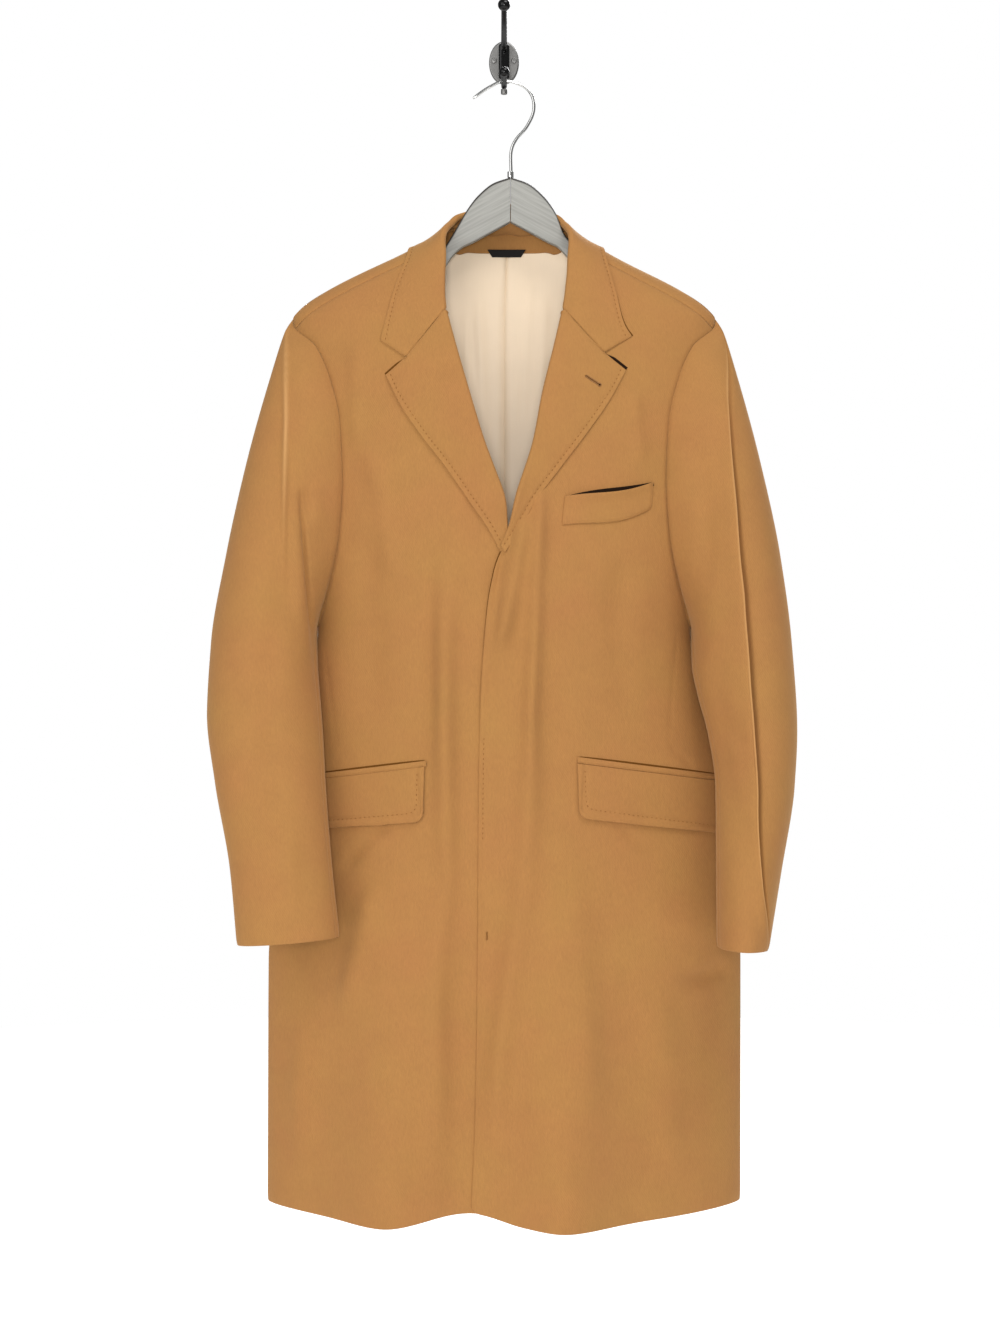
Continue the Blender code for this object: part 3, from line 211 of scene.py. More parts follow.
# Pressed crease down the right sleeve, as angles round the section from the outer side
CREASE_COLUMNS = ("share", "angle", "ridge")
RIGHT_CREASE = (
    (0.0, 2, 0.0000),
    (0.1, 10, 0.0022),
    (0.2, 31, 0.0062),
    (0.3, 62, 0.0056),
    (0.4, 82, 0.0054),
    (0.5, 88, 0.0054),
    (0.7, 95, 0.0054),
    (0.8, 92, 0.0054),
    (0.9, 72, 0.0054),
    (1.0, 28, 0.0046),
)
FOLD_CLOSENESS = 1.6
CREASE_WIDTH = 16.0
PRESS_WIDTH = 1.1
TROUGH_AWAY = 1.7
TROUGH_WIDTH = 3.2
TROUGH_SHARE = 1.15
# How far the cloth beyond the pressed edge tucks in under it
FOLD_TUCK = 0.0022
TUCK_STARTS = (0.05, 0.20)
# Rings of a sleeve: the share at its ends where they lie closer, and how much they crowd at the armhole
RING_BORDER = 0.012
RING_CROWDING = 1.15

# Lapels and collar
ROLL_RADIUS = 0.0038
LEAST_ROLL = 0.0003
# Where the roll flattens towards a lapel's foot, to what share, and the same for the height of its cloth
ROLL_FLATTENS = 0.82
ROLL_FLAT_SHARE = 0.25
LAPEL_SINKS = 0.86
LAPEL_SUNK_SHARE = 0.45
NOTCH_FADES = 0.25
EDGE_LIFT = 0.0007
FACE_CLOTH = 0.0018
GORGE_SHARE = 0.715
LAPEL_BELLY = 0.0022
BELLY_STARTS = 0.2
BELLY_ENDS = 0.6
LAPEL_COLUMNS = ("share", "roll_x", "roll_z", "edge_x", "edge_z")
LAPELS = {
    "left": (
        (0.00, 0.0640, -0.2930, 0.1267, -0.3624),
        (0.20, 0.0520, -0.3380, 0.1106, -0.3956),
        (0.40, 0.0390, -0.3850, 0.0880, -0.4300),
        (0.60, 0.0245, -0.4350, 0.0630, -0.4630),
        (0.80, 0.0090, -0.4800, 0.0330, -0.5070),
        (0.90, 0.0000, -0.5080, 0.0195, -0.5265),
        (1.00, -0.0045, -0.5480, 0.0035, -0.5555),
    ),
    "right": (
        (0.00, 0.0645, -0.2930, 0.1305, -0.3570),
        (0.20, 0.0540, -0.3380, 0.1134, -0.3892),
        (0.40, 0.0430, -0.3850, 0.0885, -0.4260),
        (0.60, 0.0340, -0.4350, 0.0600, -0.4645),
        (0.80, 0.0200, -0.4850, 0.0320, -0.5030),
        (0.90, 0.0100, -0.5200, 0.0195, -0.5265),
        (1.00, -0.0030, -0.5500, 0.0008, -0.5560),
    ),
}
NOTCH = {"left": (0.1052, -0.3440), "right": (0.1070, -0.3390)}
COLLAR_TIP = {"left": (0.1324, -0.3250), "right": (0.1369, -0.3202)}
COLLAR_COLUMNS = ("share", "fold_x", "fold_over", "edge_x", "edge_over")
COLLAR = (
    (0.00, 0.0640, -3.44, 0.1330, -3.30),
    (0.16, 0.0640, -2.80, 0.1265, -2.90),
    (0.32, 0.0620, -2.05, 0.1165, -2.20),
    (0.48, 0.0610, -1.00, 0.1060, -1.30),
    (0.62, 0.0560, 0.00, 0.0990, 0.10),
    (0.75, 0.0440, 0.55, 0.0860, 1.35),
    (0.88, 0.0230, 0.72, 0.0480, 2.57),
    (1.00, 0.0000, 0.77, 0.0000, 2.97),
)
COLLAR_NECK_SHARE = 0.48
# The fold settles on the hanger: how far inwards at the sides, and how far down at the sides and at the back
FOLD_IN = 0.0090
FOLD_DOWN_SIDE = 0.0062
FOLD_DOWN_BACK = 0.0130
# Shares of the way from the gorge to the middle of the back where the collar's fold leaves its first line
COLLAR_SETTLES = 0.16
FOLD_HANGS = (0.34, 0.62)
FOLD_IN_ENDS = 0.66
FOLD_DOWN_TURNS = (0.60, 0.95)
# A roll's cloth faces away from a point on the middle line, this far before the wall and below the roll
ROLL_MIDDLE = 0.050
# The neck hangs a little to the right
NECK_SHIFT = 0.0032
NECK_HEIGHTS = (-0.300, -0.215)
NECK_WIDTHS = (0.160, 0.085)
COLLAR_LIFT = 0.0018
COLLAR_RIDGE_LIFT = 0.0004

# Inside the neck
BACK_NECK = -0.1960
RIDGE_ROWS = 4
RIDGE_PAST = 1.3
# Rows before and after the ridge's last one, over which the back leaves the ridge's form
LOW_BACK = (0.6, 1.2)
NECK_BLEND = 0.05
RIDGE_END = 3.25
FACING_ROW = 2
LABEL_TOP_HALF = 0.0240
LABEL_FOOT_HALF = 0.0178
LABEL_MIDDLE = -0.0004
LABEL_TOP = -0.2140
LABEL_FOOT = -0.2220

# Pocket pieces: corners on a front, as inner top, outer top, outer foot and inner foot
POCKETS = {
    "breast_welt": ("right", ((0.0649, -0.4970), (0.1599, -0.4799), (0.1578, -0.5077), (0.0617, -0.5269))),
    "flap_left": ("left", ((0.0847, -0.7850), (0.2030, -0.8010), (0.2010, -0.8520), (0.0857, -0.8425))),
    "flap_right": ("right", ((0.0777, -0.7815), (0.2290, -0.8020), (0.2280, -0.8570), (0.0790, -0.8385))),
    "jet_left": ("left", ((0.0830, -0.7785), (0.2040, -0.7948), (0.2040, -0.8000), (0.0830, -0.7840))),
    "jet_right": ("right", ((0.0780, -0.7745), (0.2300, -0.7955), (0.2300, -0.8008), (0.0780, -0.7802))),
}
FLAP_ROUND = 0.010
PATCH_GAP = 0.0008
LIE_GAP = 0.0006
HALF_GAP = 0.0001
LINING_EASE = 0.0012

# How straight the shoulder seams run, as a share
SEAM_STRAIGHT = 0.6
STRAIGHT_STEPS = 1.5

# End of the facing round the neck, as a share from the middle of the back to the neck's end
FACING_END = -0.172
# Widest part of the strip of painted shade in the breast pocket's mouth
MOUTH_OPEN = 0.0050
# How far the breast welt sags below a straight line at its top and at its foot
WELT_SAG = (0.0044, 0.0070)
WELT_SAG_LEAN = 1.5
# Widest part of the strip of painted shade above a jet
JET_OPEN = 0.0022

# How far the notches and the right edge of the collar stand open, as widths of strips of painted shade
NOTCH_OPEN = {"left": 0.0019, "right": 0.0030}
NOTCH_FINISH = {"left": "ditch", "right": "mouth"}
# The fly stands open below the lapels, shown by a strip of painted shade: how far, and from where to where
FLY_OPEN = 0.0019
FLY_OPEN_TOP = -0.546
FLY_OPEN_FOOT = -0.720
COLLAR_OPEN = 0.0019
COLLAR_OPEN_TOP = -0.272

# Hand sewing on the right front and lapel, as x and z
EDGE_STITCH_TOP = -0.755
EDGE_STITCH_FOOT = -0.860
EDGE_STITCH_IN = 0.0045
BAR_TACK = (-0.0183, -0.9590)
BAR_TACK_LONG = 0.0080
BUTTONHOLE = ((0.0878, -0.3655), (0.1027, -0.3750))

# Grooves where the cloth turns in at a seam or an edge, as depth and width
SHOULDER_GROOVE = (0.0012, 0.0022)
ARMHOLE_GROOVE = (0.0010, 0.0022)
PANEL_GROOVE = (0.0008, 0.0022)
GORGE_GROOVE = (0.0011, 0.0018)
LINING_GROOVE = (0.0018, 0.0016)
WELT_GROOVE = (0.0010, 0.0020)
JET_GROOVE = (0.0008, 0.0016)
EDGE_TURN = (0.0016, 0.0042)
HEM_TURN = (0.0006, 0.0040)
CUFF_TURN = (0.0006, 0.0030)
# Groove round the sleeve's cap: depths at the shoulder and below it, the steps between them, and its width
CAP_DEPTHS = (0.0002, 0.0012)
CAP_FADE = (0.6, 3.0)
CAP_WIDTH = 0.0040
# A groove that fades keeps this share of its depth at the end, and is whole this far from it
FADED_SHARE = 0.15
GROOVE_SHARP = 1.5
# Points of a grid near its borders, as shares of the border's width
BORDER_SHARES = (0.08, 0.22, 0.45, 0.75)
ROW_BORDER = 0.008
# Lines of a grid along and across some pieces, with the share at their ends where they lie closer
LAPEL_LINES = (170, 0.03)
LAPEL_ACROSS = (38, 0.05)
COLLAR_ACROSS = (36, 0.05)
COLLAR_LINES = np.concatenate([np.linspace(0, 0.03, 7), np.linspace(0.04, 1, 97)])
LINING_LINES = (150, 0.01)
PATCH_LINES = (26, 0.06)
PATCH_ACROSS = (64, 0.04)
# Lines at the collar's ends that roll straight towards the middle
GORGE_LINES = 12
NOTCH_WIDENS = 0.35
FADED_LENGTH = 0.040
# Seam allowances: of the sleeve inside the armhole as inset and depth, and of a panel as reach and depth
ALLOWANCE = (0.0020, -0.0040)
FLANGE = ((0.0012, 0.0032), (0.0006, 0.0008))
# Rims of the cloth swell by this share of its thickness, at this share from both faces
RIM_ROUND = 0.30
RIM_ROUND_AT = 0.22
# Creases fade over this length towards a sewn border
SEWN_FADE = 0.028

# Gaps left at seams that are sewn edge to edge
GORGE_GAP = 0.0005
COLLAR_GAP = 0.0003
FACING_GAP = 0.0003
STAND_GAP = 0.0004

# Strips of painted shade: how far they go in under their piece, how thick they are, and how open they are at
# the far end
FLY_UNDER = 0.0020
EDGE_UNDER = 0.0030
MOUTH_UNDER = 0.0035
STRIP_OUT = 0.0006
STRIP_THICK = 0.0004
OPEN_END = 0.1
MOUTH_LEAST = 0.0002
# How bluntly the strips of painted shade in the pockets' mouths close at their ends, and how far their widest
# place lies towards the arm
MOUTH_BLUNT = 0.9
JET_BLUNT = 0.25
MOUTH_LEAN = 1.1

# Painted highlight along the sleeves' pressed folds: strength, width and where it fades, by height on the
# left and by share of the sleeve's length on the right, where the width is in degrees
LEFT_HIGHLIGHT = 0.5
LEFT_HIGHLIGHT_WIDTH = 0.0022
LEFT_HIGHLIGHT_FADE = (-0.560, -0.380)
RIGHT_HIGHLIGHT = 0.3
RIGHT_HIGHLIGHT_WIDTH = 1.3
RIGHT_HIGHLIGHT_AWAY = 1.0
RIGHT_HIGHLIGHT_FADE = (0.08, 0.20)

# Roll of the lapels and the collar, as angles round it from underneath
ROLL_ANGLES = np.linspace(-90.0, 78.0, 12)
COLLAR_MIDDLE = (0.0, -0.045, -0.300)
STAND_MIDDLE = (0.0, -0.050, -0.190)
STAND_HOLLOW = 0.0030
STAND_COLUMN = 4
LINING_END = 0.9

# Pocket pieces: how flaps lift at their foot, how the breast welt gapes, and the swollen edge of the flaps
FLAP_LIFT = 0.0006
FLAP_LINE_TOP = 0.003
FLAP_LINE_END = 0.004
WELT_GAPE = 0.0030
WELT_GAPE_DEEP = 0.0070
FLAP_PUFF = 0.0007
PUFF_AT = 0.45
PUFF_WIDE = 0.35
FLAP_DITCH = 0.0006
FLAP_DITCH_WIDE = 0.0016

# Thread: dimples under the pick stitches, then lengths and thicknesses of the other stitches
DIMPLE_DEPTH = 0.0009
DIMPLE_SIZE = 0.0017
STITCH_SINK = 0.6
STITCH_RINGS = (
    # place along it, radius and lift, for a stitch 1 long and 1 thick
    (-0.50, 0.30, -0.35),
    (-0.30, 0.46, 0.0),
    (0.0, 0.50, 0.10),
    (0.30, 0.46, 0.0),
    (0.50, 0.30, -0.35),
)
STITCH_OUT = 0.0001
BAR_TACK_OUT = 0.0003
BAR_TACK_ROW = 0.0006
BAR_TACK_TURNS = 9
BAR_TACK_STITCH = (0.0012, 0.0004)
BUTTONHOLE_HALF = 0.0010
BUTTONHOLE_STEP = 0.0007
BUTTONHOLE_STITCH = (0.0016, 0.0007)
EYELET_RADIUS = 0.0017
EYELET_THROAT = 0.0016
EYELET_STITCH = (0.0020, 0.0016)
SLIT_STEP = 0.0016
SLIT_STITCH = (0.0026, 0.0006)

# Hanger
HANGER_X = 0.0071
HANGER_Y = -0.050
HANGER_HEAD_COLUMNS = ("away", "height")
HANGER_HEAD = (
    (0.0000, -0.1384),
    (0.0182, -0.1445),
    (0.0360, -0.1588),
    (0.0480, -0.1745),
    (0.0575, -0.1910),
    (0.0800, -0.2280),
)
HANGER_DROP_COLUMNS = ("coat_away", "drop")
HANGER_DROP = (
    (0.0450, 0.0096),
    (0.0600, 0.0130),
    (0.0760, 0.0128),
    (0.0950, 0.0099),
    (0.2300, 0.0099),
)
HANGER_HALF = 0.188
HANGER_NOTCH = -0.1875
HANGER_ARM = 0.027
# The board's outer end is rounded off from here over this length, to this share of its height
HANGER_TIP_AT = 0.178
HANGER_TIP_LONG = 0.0102
HANGER_TIP_LEAST = 0.12
MITRE_GAP = 0.00015
MITRE_NEAR = 0.0005
# How much of the full rounding the lower edges and the mitre get
LOWER_ROUND = 0.5
MITRE_ROUND = 0.15
# Distances out between which the head passes into the arm, at the top and at the foot
HEAD_MEETS_ARM = (0.052, 0.066)
NOTCH_MEETS_ARM = (0.040, 0.090)
BOARD_ROUND = 0.0030
FERRULE_RADIUS = 0.0034
FERRULE_TOP = -0.1315
FERRULE_LIP = 0.0008
FERRULE_DISH = 0.0006
FERRULE_ROUND = 0.0004
# Gap under a piece that is seated on another
SEAT_GAP = 0.0003
# Radii of the wire's last points, as shares
WIRE_TIP = (0.96, 0.84, 0.55)
WIRE_ROUTE = (
    (0.0077, -0.1311),
    (0.0077, -0.1100),
    (0.0128, -0.0965),
    (0.0245, -0.0825),
    (0.0325, -0.0650),
    (0.0310, -0.0480),
    (0.0205, -0.0365),
    (0.0010, -0.0312),
    (-0.0170, -0.0385),
    (-0.0343, -0.0505),
)

# Wall hook
PLATE_WIDE = 0.0336
PLATE_TALL = 0.0480
PLATE_THICK = 0.0040
PLATE_ROUND = 0.0015
SCREW_X = 0.0112
SCREW_Z = 0.0020
SCREW_RADIUS = 0.0030
SCREW_HEIGHT = 0.0016
SCREW_ROUND = 0.0007
SLOT_LONG = 2.4 * SCREW_RADIUS
SLOT_DEEP = 0.0012
SLOT_WIDE = 0.0008
SLOT_ANGLES = (35.0, -60.0)
BOSS_WIDE = 0.0120
BOSS_TALL = 0.0400
BOSS_THICK = 0.0070
BOSS_ROUND = 0.0030
ARM_RADIUS = 0.0033
ARM_TAPER = 0.92
UPPER_ROUTE = (
    (-0.0118, 0.0130),
    (-0.0200, 0.0138),
    (-0.0400, 0.0205),
    (-0.0620, 0.0285),
    (-0.0830, 0.0420),
)
LOWER_ROUTE = (
    (-0.0119, -0.0150),
    (-0.0200, -0.0172),
    (-0.0320, -0.0305),
    (-0.0500, -0.0365),
    (-0.0760, -0.0290),
)
UPPER_BALL = (-0.0850, 0.0440)
UPPER_BALL_RADIUS = 0.0068
LOWER_BALL = (-0.0780, -0.0277)
LOWER_BALL_RADIUS = 0.0058
PEG_RADIUS = 0.0035
PEG_TALL = 0.0060
PEG_ROUND = 0.0009
# Edges that turn by more than this many degrees are softened
SHARP_ANGLE = 50.0
SAME_PLACE = 0.00001
SMOOTH_ANGLE = 35.0
FACES_ALONG = 0.9

# Camera of the photograph, and the studio round the coat
CAMERA_PLACE = (-0.0045, -2.9, -0.678)
CAMERA_LENS = 69.68
CAMERA_SENSOR = 36.0
FLOOR_RADIUS = 2.6
FLOOR_Y = 0.3
CAMERA_REACH = 50.0
LIT_PLACE = (0.0, -0.08, -0.70)
LIGHTS = (
    # name, place, size, and its power as a share of a value of the stage
    ("key_light", (-1.6, -2.2, 0.3), (2.2, 2.2), 1.0, "key"),
    ("top_light", (0.8, -1.1, 1.6), (1.4, 1.0), 1.1, "key"),
    ("front_light", (-0.06, -3.4, -0.60), (0.5, 0.6), 1.0, "fill"),
    ("back_light", (0.6, 2.4, 1.2), (1.6, 1.2), 1.5, "fill"),
)
WHITE = (1.0, 1.0, 1.0, 1.0)

# The fly's edge where it rolls under, as x and z
FLY_LINE = (
    (0.009, -0.535),
    (0.003, -0.551),
    (-0.004, -0.572),
    (-0.009, -0.598),
    (-0.011, -0.650),
    (-0.015, -0.713),
    (-0.018, -0.765),
)
# Creases given one by one for each panel, on the sides that face to the front and to the back: half width,
# height (a trough is below zero) and the line it follows as x and z. They fade at both ends.
FRONT_CREASES = {
    "front_right": (
        # Long fold beside the fly, from the lapel's end to the hem
        (0.0080, 0.0092, ((0.041, -0.466), (0.038, -0.501), (0.035, -0.565), (0.032, -0.639),
            (0.028, -0.724), (0.027, -0.830))),
        (0.0130, 0.0088, ((0.028, -0.714), (0.026, -0.819), (0.021, -0.914), (0.008, -0.993),
            (-0.004, -1.083), (-0.009, -1.146), (-0.013, -1.230))),
        (0.0088, 0.0084, ((0.023, -0.506), (0.017, -0.549), (0.010, -0.586), (-0.001, -0.637),
            (-0.017, -0.680))),
        # Edge of the fly, which rolls under above the waist, and the groove beside it
        (0.0050, -0.0030, FLY_LINE),
        (0.0022, -0.0012, ((-0.001, -0.556), (-0.006, -0.581), (-0.009, -0.618), (-0.011, -0.671))),
        # Drag below the flap and beside the cuff
        (0.0045, -0.0020, ((0.115, -0.848), (0.132, -0.859), (0.151, -0.870), (0.184, -0.875))),
        (0.0080, -0.0040, ((0.245, -1.000), (0.238, -1.004), (0.210, -1.013), (0.184, -1.018))),
        (0.0030, -0.0014, ((0.176, -0.761), (0.187, -0.772), (0.205, -0.787))),
        # Soft folds of the skirt, the waist and the chest
        (0.0180, 0.0046, ((0.064, -0.883), (0.072, -0.925), (0.078, -0.983), (0.082, -1.035),
            (0.087, -1.098), (0.090, -1.186))),
        (0.0160, 0.0030, ((0.161, -1.012), (0.175, -1.119), (0.179, -1.237))),
        (0.0160, -0.0026, ((0.129, -0.543), (0.121, -0.628), (0.126, -0.756))),
        (0.0090, 0.0026, ((0.140, -0.374), (0.143, -0.412), (0.148, -0.464))),
        # Seam of the dart
        (0.0012, -0.0009, ((0.189, -0.631), (0.181, -0.706), (0.176, -0.778))),
    ),
    "front_left": (
        # Hollow under the fly's edge
        (0.0100, -0.0040, FLY_LINE),
        # Twin folds beside the fly, then one to the hem
        (0.0110, 0.0098, ((-0.061, -0.565), (-0.063, -0.650), (-0.063, -0.735), (-0.062, -0.830),
            (-0.060, -0.904), (-0.065, -0.978))),
        (0.0070, -0.0026, ((-0.078, -0.543), (-0.079, -0.629), (-0.078, -0.714), (-0.077, -0.799))),
        (0.0140, 0.0060, ((-0.064, -0.894), (-0.070, -0.967), (-0.075, -1.041), (-0.071, -1.124),
            (-0.068, -1.229))),
        # Drag below the flap
        (0.0066, -0.0038, ((-0.119, -0.844), (-0.137, -0.856), (-0.154, -0.873), (-0.178, -0.900))),
        (0.0130, 0.0066, ((-0.137, -0.905), (-0.147, -0.948), (-0.158, -0.993), (-0.171, -1.060))),
        # Soft folds of the chest, the waist and the skirt
        (0.0120, 0.0030, ((-0.154, -0.313), (-0.159, -0.357), (-0.164, -0.412), (-0.166, -0.455))),
        (0.0110, 0.0022, ((-0.117, -0.596), (-0.133, -0.499), (-0.153, -0.412))),
        (0.0160, -0.0026, ((-0.148, -0.521), (-0.142, -0.628), (-0.137, -0.757))),
        (0.0120, 0.0016, ((-0.053, -0.468), (-0.054, -0.543), (-0.057, -0.629))),
        (0.0140, 0.0034, ((-0.214, -1.037), (-0.220, -1.123), (-0.217, -1.240))),
        # Seam of the dart
        (0.0012, -0.0009, ((-0.196, -0.656), (-0.187, -0.714), (-0.178, -0.776))),
    ),
    "sleeve_left": (
        # Pressed fold down the middle
        (0.0024, 0.0034, ((-0.240, -0.290), (-0.238, -0.344), (-0.235, -0.412), (-0.235, -0.478),
            (-0.235, -0.607))),
        # Cloth that turns back under the front edge, with a dimple above
        (0.0024, -0.0046, ((-0.219, -0.470), (-0.216, -0.516), (-0.212, -0.564), (-0.207, -0.628),
            (-0.200, -0.720))),
        (0.0070, 0.0026, ((-0.225, -0.489), (-0.222, -0.543), (-0.217, -0.607), (-0.211, -0.682))),
        (0.0060, -0.0040, ((-0.214, -0.484), (-0.211, -0.503), (-0.208, -0.527))),
        (0.0160, -0.0030, ((-0.230, -0.560), (-0.250, -0.680), (-0.256, -0.800))),
        (0.0120, -0.0026, ((-0.290, -0.700), (-0.265, -0.745), (-0.232, -0.770))),
        (0.0110, -0.0022, ((-0.286, -0.790), (-0.260, -0.812), (-0.225, -0.815))),
        (0.0100, 0.0018, ((-0.225, -0.830), (-0.224, -0.880), (-0.218, -0.950))),
    ),
    "sleeve_right": (
        (0.0120, -0.0026, ((0.208, -0.430), (0.216, -0.500), (0.218, -0.600))),
        (0.0100, -0.0022, ((0.225, -0.640), (0.231, -0.760), (0.242, -0.880))),
        (0.0110, -0.0020, ((0.230, -0.730), (0.248, -0.755), (0.262, -0.760))),
    ),
}
BACK_CREASES = {
    "back_left": (
        (0.0160, -0.0034, ((-0.125, -0.380), (-0.140, -0.470), (-0.165, -0.560))),
        (0.0130, 0.0030, ((-0.070, -0.420), (-0.080, -0.560), (-0.078, -0.680))),
        (0.0180, -0.0040, ((-0.045, -0.600), (-0.056, -0.760), (-0.060, -0.960))),
        (0.0100, -0.0022, ((-0.185, -0.650), (-0.160, -0.700), (-0.125, -0.730))),
        (0.0150, 0.0030, ((-0.195, -0.900), (-0.200, -1.050), (-0.206, -1.230))),
    ),
    "back_right": (
        (0.0160, -0.0036, ((0.120, -0.370), (0.138, -0.460), (0.168, -0.570))),
        (0.0140, 0.0026, ((0.060, -0.450), (0.068, -0.580), (0.062, -0.720))),
        (0.0170, -0.0042, ((0.038, -0.640), (0.044, -0.800), (0.050, -1.020))),
        (0.0110, -0.0024, ((0.188, -0.640), (0.158, -0.690), (0.120, -0.700))),
        (0.0140, 0.0030, ((0.185, -0.880), (0.196, -1.040), (0.202, -1.230))),
    ),
    "sleeve_left": (
        (0.0130, -0.0040, ((-0.295, -0.640), (-0.265, -0.690), (-0.225, -0.730))),
        (0.0120, -0.0036, ((-0.290, -0.740), (-0.260, -0.775), (-0.225, -0.780))),
        (0.0100, 0.0024, ((-0.245, -0.420), (-0.260, -0.540), (-0.272, -0.640))),
    ),
    "sleeve_right": (
        (0.0130, -0.0040, ((0.290, -0.650), (0.262, -0.700), (0.230, -0.735))),
        (0.0120, -0.0034, ((0.290, -0.745), (0.265, -0.780), (0.235, -0.790))),
        (0.0100, 0.0024, ((0.245, -0.430), (0.258, -0.545), (0.268, -0.650))),
    ),
    "lining": (
        (0.0050, -0.0016, ((-0.030, -0.240), (-0.026, -0.330), (-0.022, -0.470))),
        (0.0045, -0.0012, ((0.029, -0.240), (0.025, -0.320), (0.020, -0.440))),
        (0.0040, -0.0014, ((-0.044, -0.270), (-0.040, -0.350), (-0.033, -0.420))),
        (0.0060, -0.0018, ((0.045, -0.260), (0.042, -0.340), (0.035, -0.420))),
    ),
}
# Shares of a crease's length over which it fades, how uneven it is, and how far it reaches round a panel
CREASE_STARTS = 0.22
CREASE_ENDS = 0.70
CREASE_UNEVEN = 0.25
CREASE_WAVES = 9.0
CREASE_PHASE = 40
CREASE_FACING = (0.05, 0.45)


def curve_through(keys, values):
    """Smooth curve through the points that never overshoots them. Keys may run up or down."""
    order = np.argsort(keys)
    keys = np.asarray(keys, float)[order]
    values = np.asarray(values, float)[order]
    steps = np.diff(keys)
    slopes = np.diff(values) / steps
    tangents = np.zeros(len(keys))
    tangents[0] = slopes[0]
    tangents[-1] = slopes[-1]
    for i in range(1, len(keys) - 1):
        if slopes[i - 1] * slopes[i] > 0:
            tangents[i] = 2 * slopes[i - 1] * slopes[i] / (slopes[i - 1] + slopes[i])

    def at(key):
        key = np.clip(key, keys[0], keys[-1])
        i = np.clip(np.searchsorted(keys, key) - 1, 0, len(keys) - 2)
        t = (key - keys[i]) / steps[i]
        rise = values[i] * (1 + 2 * t) * (1 - t) ** 2 + values[i + 1] * t * t * (3 - 2 * t)
        return rise + steps[i] * (tangents[i] * t * (1 - t) ** 2 - tangents[i + 1] * t * t * (1 - t))

    return at


def columns_of(names, rows, key=None):
    """One smooth curve for each named column, read against the key column or the share of the way down."""
    keys = [row[names.index(key)] for row in rows] if key else np.linspace(0, 1, len(rows))
    return {
        name: curve_through(keys, [row[i] for row in rows])
        for i, name in enumerate(names)
        if name != key
    }


BODY = columns_of(BODY_COLUMNS, BODY_SECTIONS, "height")
ARMHOLE_AT = columns_of(ARMHOLE_COLUMNS, ARMHOLE, "height")
FRONT_EDGE_AT = columns_of(FRONT_EDGE_COLUMNS, FRONT_EDGE, "height")
FRONT_ROW_AT = curve_through(range(1, ARMHOLE_STEPS + 1), [row[0] for row in FRONT_EDGE[:ARMHOLE_STEPS]])
HEM_AT = columns_of(HEM_COLUMNS, FRONT_HEM, "across")["height"]
SLEEVE_AT = {side: columns_of(SLEEVE_COLUMNS, SLEEVE_SECTIONS[side]) for side in SIDES}
CREASE_AT = columns_of(CREASE_COLUMNS, RIGHT_CREASE, "share")
LAPEL_AT = {side: columns_of(LAPEL_COLUMNS, LAPELS[side], "share") for side in SIDES}
COLLAR_AT = columns_of(COLLAR_COLUMNS, COLLAR, "share")
HANGER_HEAD_AT = columns_of(HANGER_HEAD_COLUMNS, HANGER_HEAD, "away")["height"]
HANGER_DROP_AT = columns_of(HANGER_DROP_COLUMNS, HANGER_DROP, "coat_away")["drop"]
RIDGE_HEIGHTS = np.linspace(BODY_SECTIONS[0][0], ARMHOLE_TOP, 600)
RIDGE_WIDTHS = BODY["left"](RIDGE_HEIGHTS)
BACK_ARMHOLE_ROWS = ARMHOLE_STEPS + 1
BACK_LAST_ROW = BACK_ARMHOLE_ROWS + SKIRT_STEPS


def mix(a, b, share):
    return a + (b - a) * share


def eased(low, high, value):
    """0 at low, 1 at high, with a soft start and end."""
    t = np.clip((np.asarray(value, float) - low) / (high - low), 0.0, 1.0)
    return t * t * (3 - 2 * t)


def spread(z):
    """How far a sloping shoulder moves sideways for each unit that its surface moves out."""
    sloped = math.hypot(1, RIDGE_FALL) / RIDGE_FALL
    return mix(1.0, sloped, eased(*SHOULDER_HEIGHTS, z))


def skirt_fold(face, x, z):
    total = 0.0
    for fold_face, top_x, foot_x, top_z, foot_z, width, height in SKIRT_FOLDS:
        if fold_face == face:
            down = eased(top_z, foot_z, z)
            middle = mix(top_x, foot_x, down)
            total = total + height * down * np.exp(-(((x - middle) / width) ** 2))
    return total


def body_point(side, z, angle, out=0.0):
    """Points of the body. The angle is 0 at the middle front, 90 at the side and 180 at the middle back."""
    z, angle, out = np.broadcast_arrays(*(np.asarray(value, float) for value in (z, angle, out)))
    turn = np.radians(angle)
    x = SIGN[side] * (BODY[side](z) + out * spread(z)) * np.sin(turn)
    reach = np.abs(np.cos(turn)) ** (2 * BODY["fullness"](z))
    front = angle <= 90
    ahead, behind = (BODY[face](z) + skirt_fold(face, x, z) for face in ("front", "back"))
    depth = np.where(front, ahead, behind)
    y = BODY["side_y"](z) + np.where(front, -1.0, 1.0) * (depth + out) * reach
    return np.stack([x, y, z], axis=-1)


def angle_of(side, away, z):
    return np.degrees(np.arcsin(np.clip(away / BODY[side](z), -1.0, 1.0)))


def on_front(side, away, z, out=0.0):
    return body_point(side, z, angle_of(side, away, z), out)


def on_back(side, away, z, out=0.0):
    return body_point(side, z, 180 - angle_of(side, away, z), out)


def ridge_z(away):
    """Height of the shoulder ridge, where the section's half width is that far out."""
    return np.interp(away, RIDGE_WIDTHS, RIDGE_HEIGHTS)


def over_shoulder(side, away, over, out=0.0):
    """Points near the shoulder ridge: in front of it where over is below zero, behind it above zero."""
    away, over = np.broadcast_arrays(np.asarray(away, float), np.asarray(over, float))
    z = ridge_z(away) - RIDGE_STEP * over * over
    angle = angle_of(side, away, z)
    return body_point(side, z, np.where(over < 0, angle, 180 - angle), out)


def armhole_height(step):
    return mix(ARMHOLE_TOP, ARMHOLE_FOOT, (1 - np.cos(np.pi * np.asarray(step, float) / ARMHOLE_STEPS)) / 2)


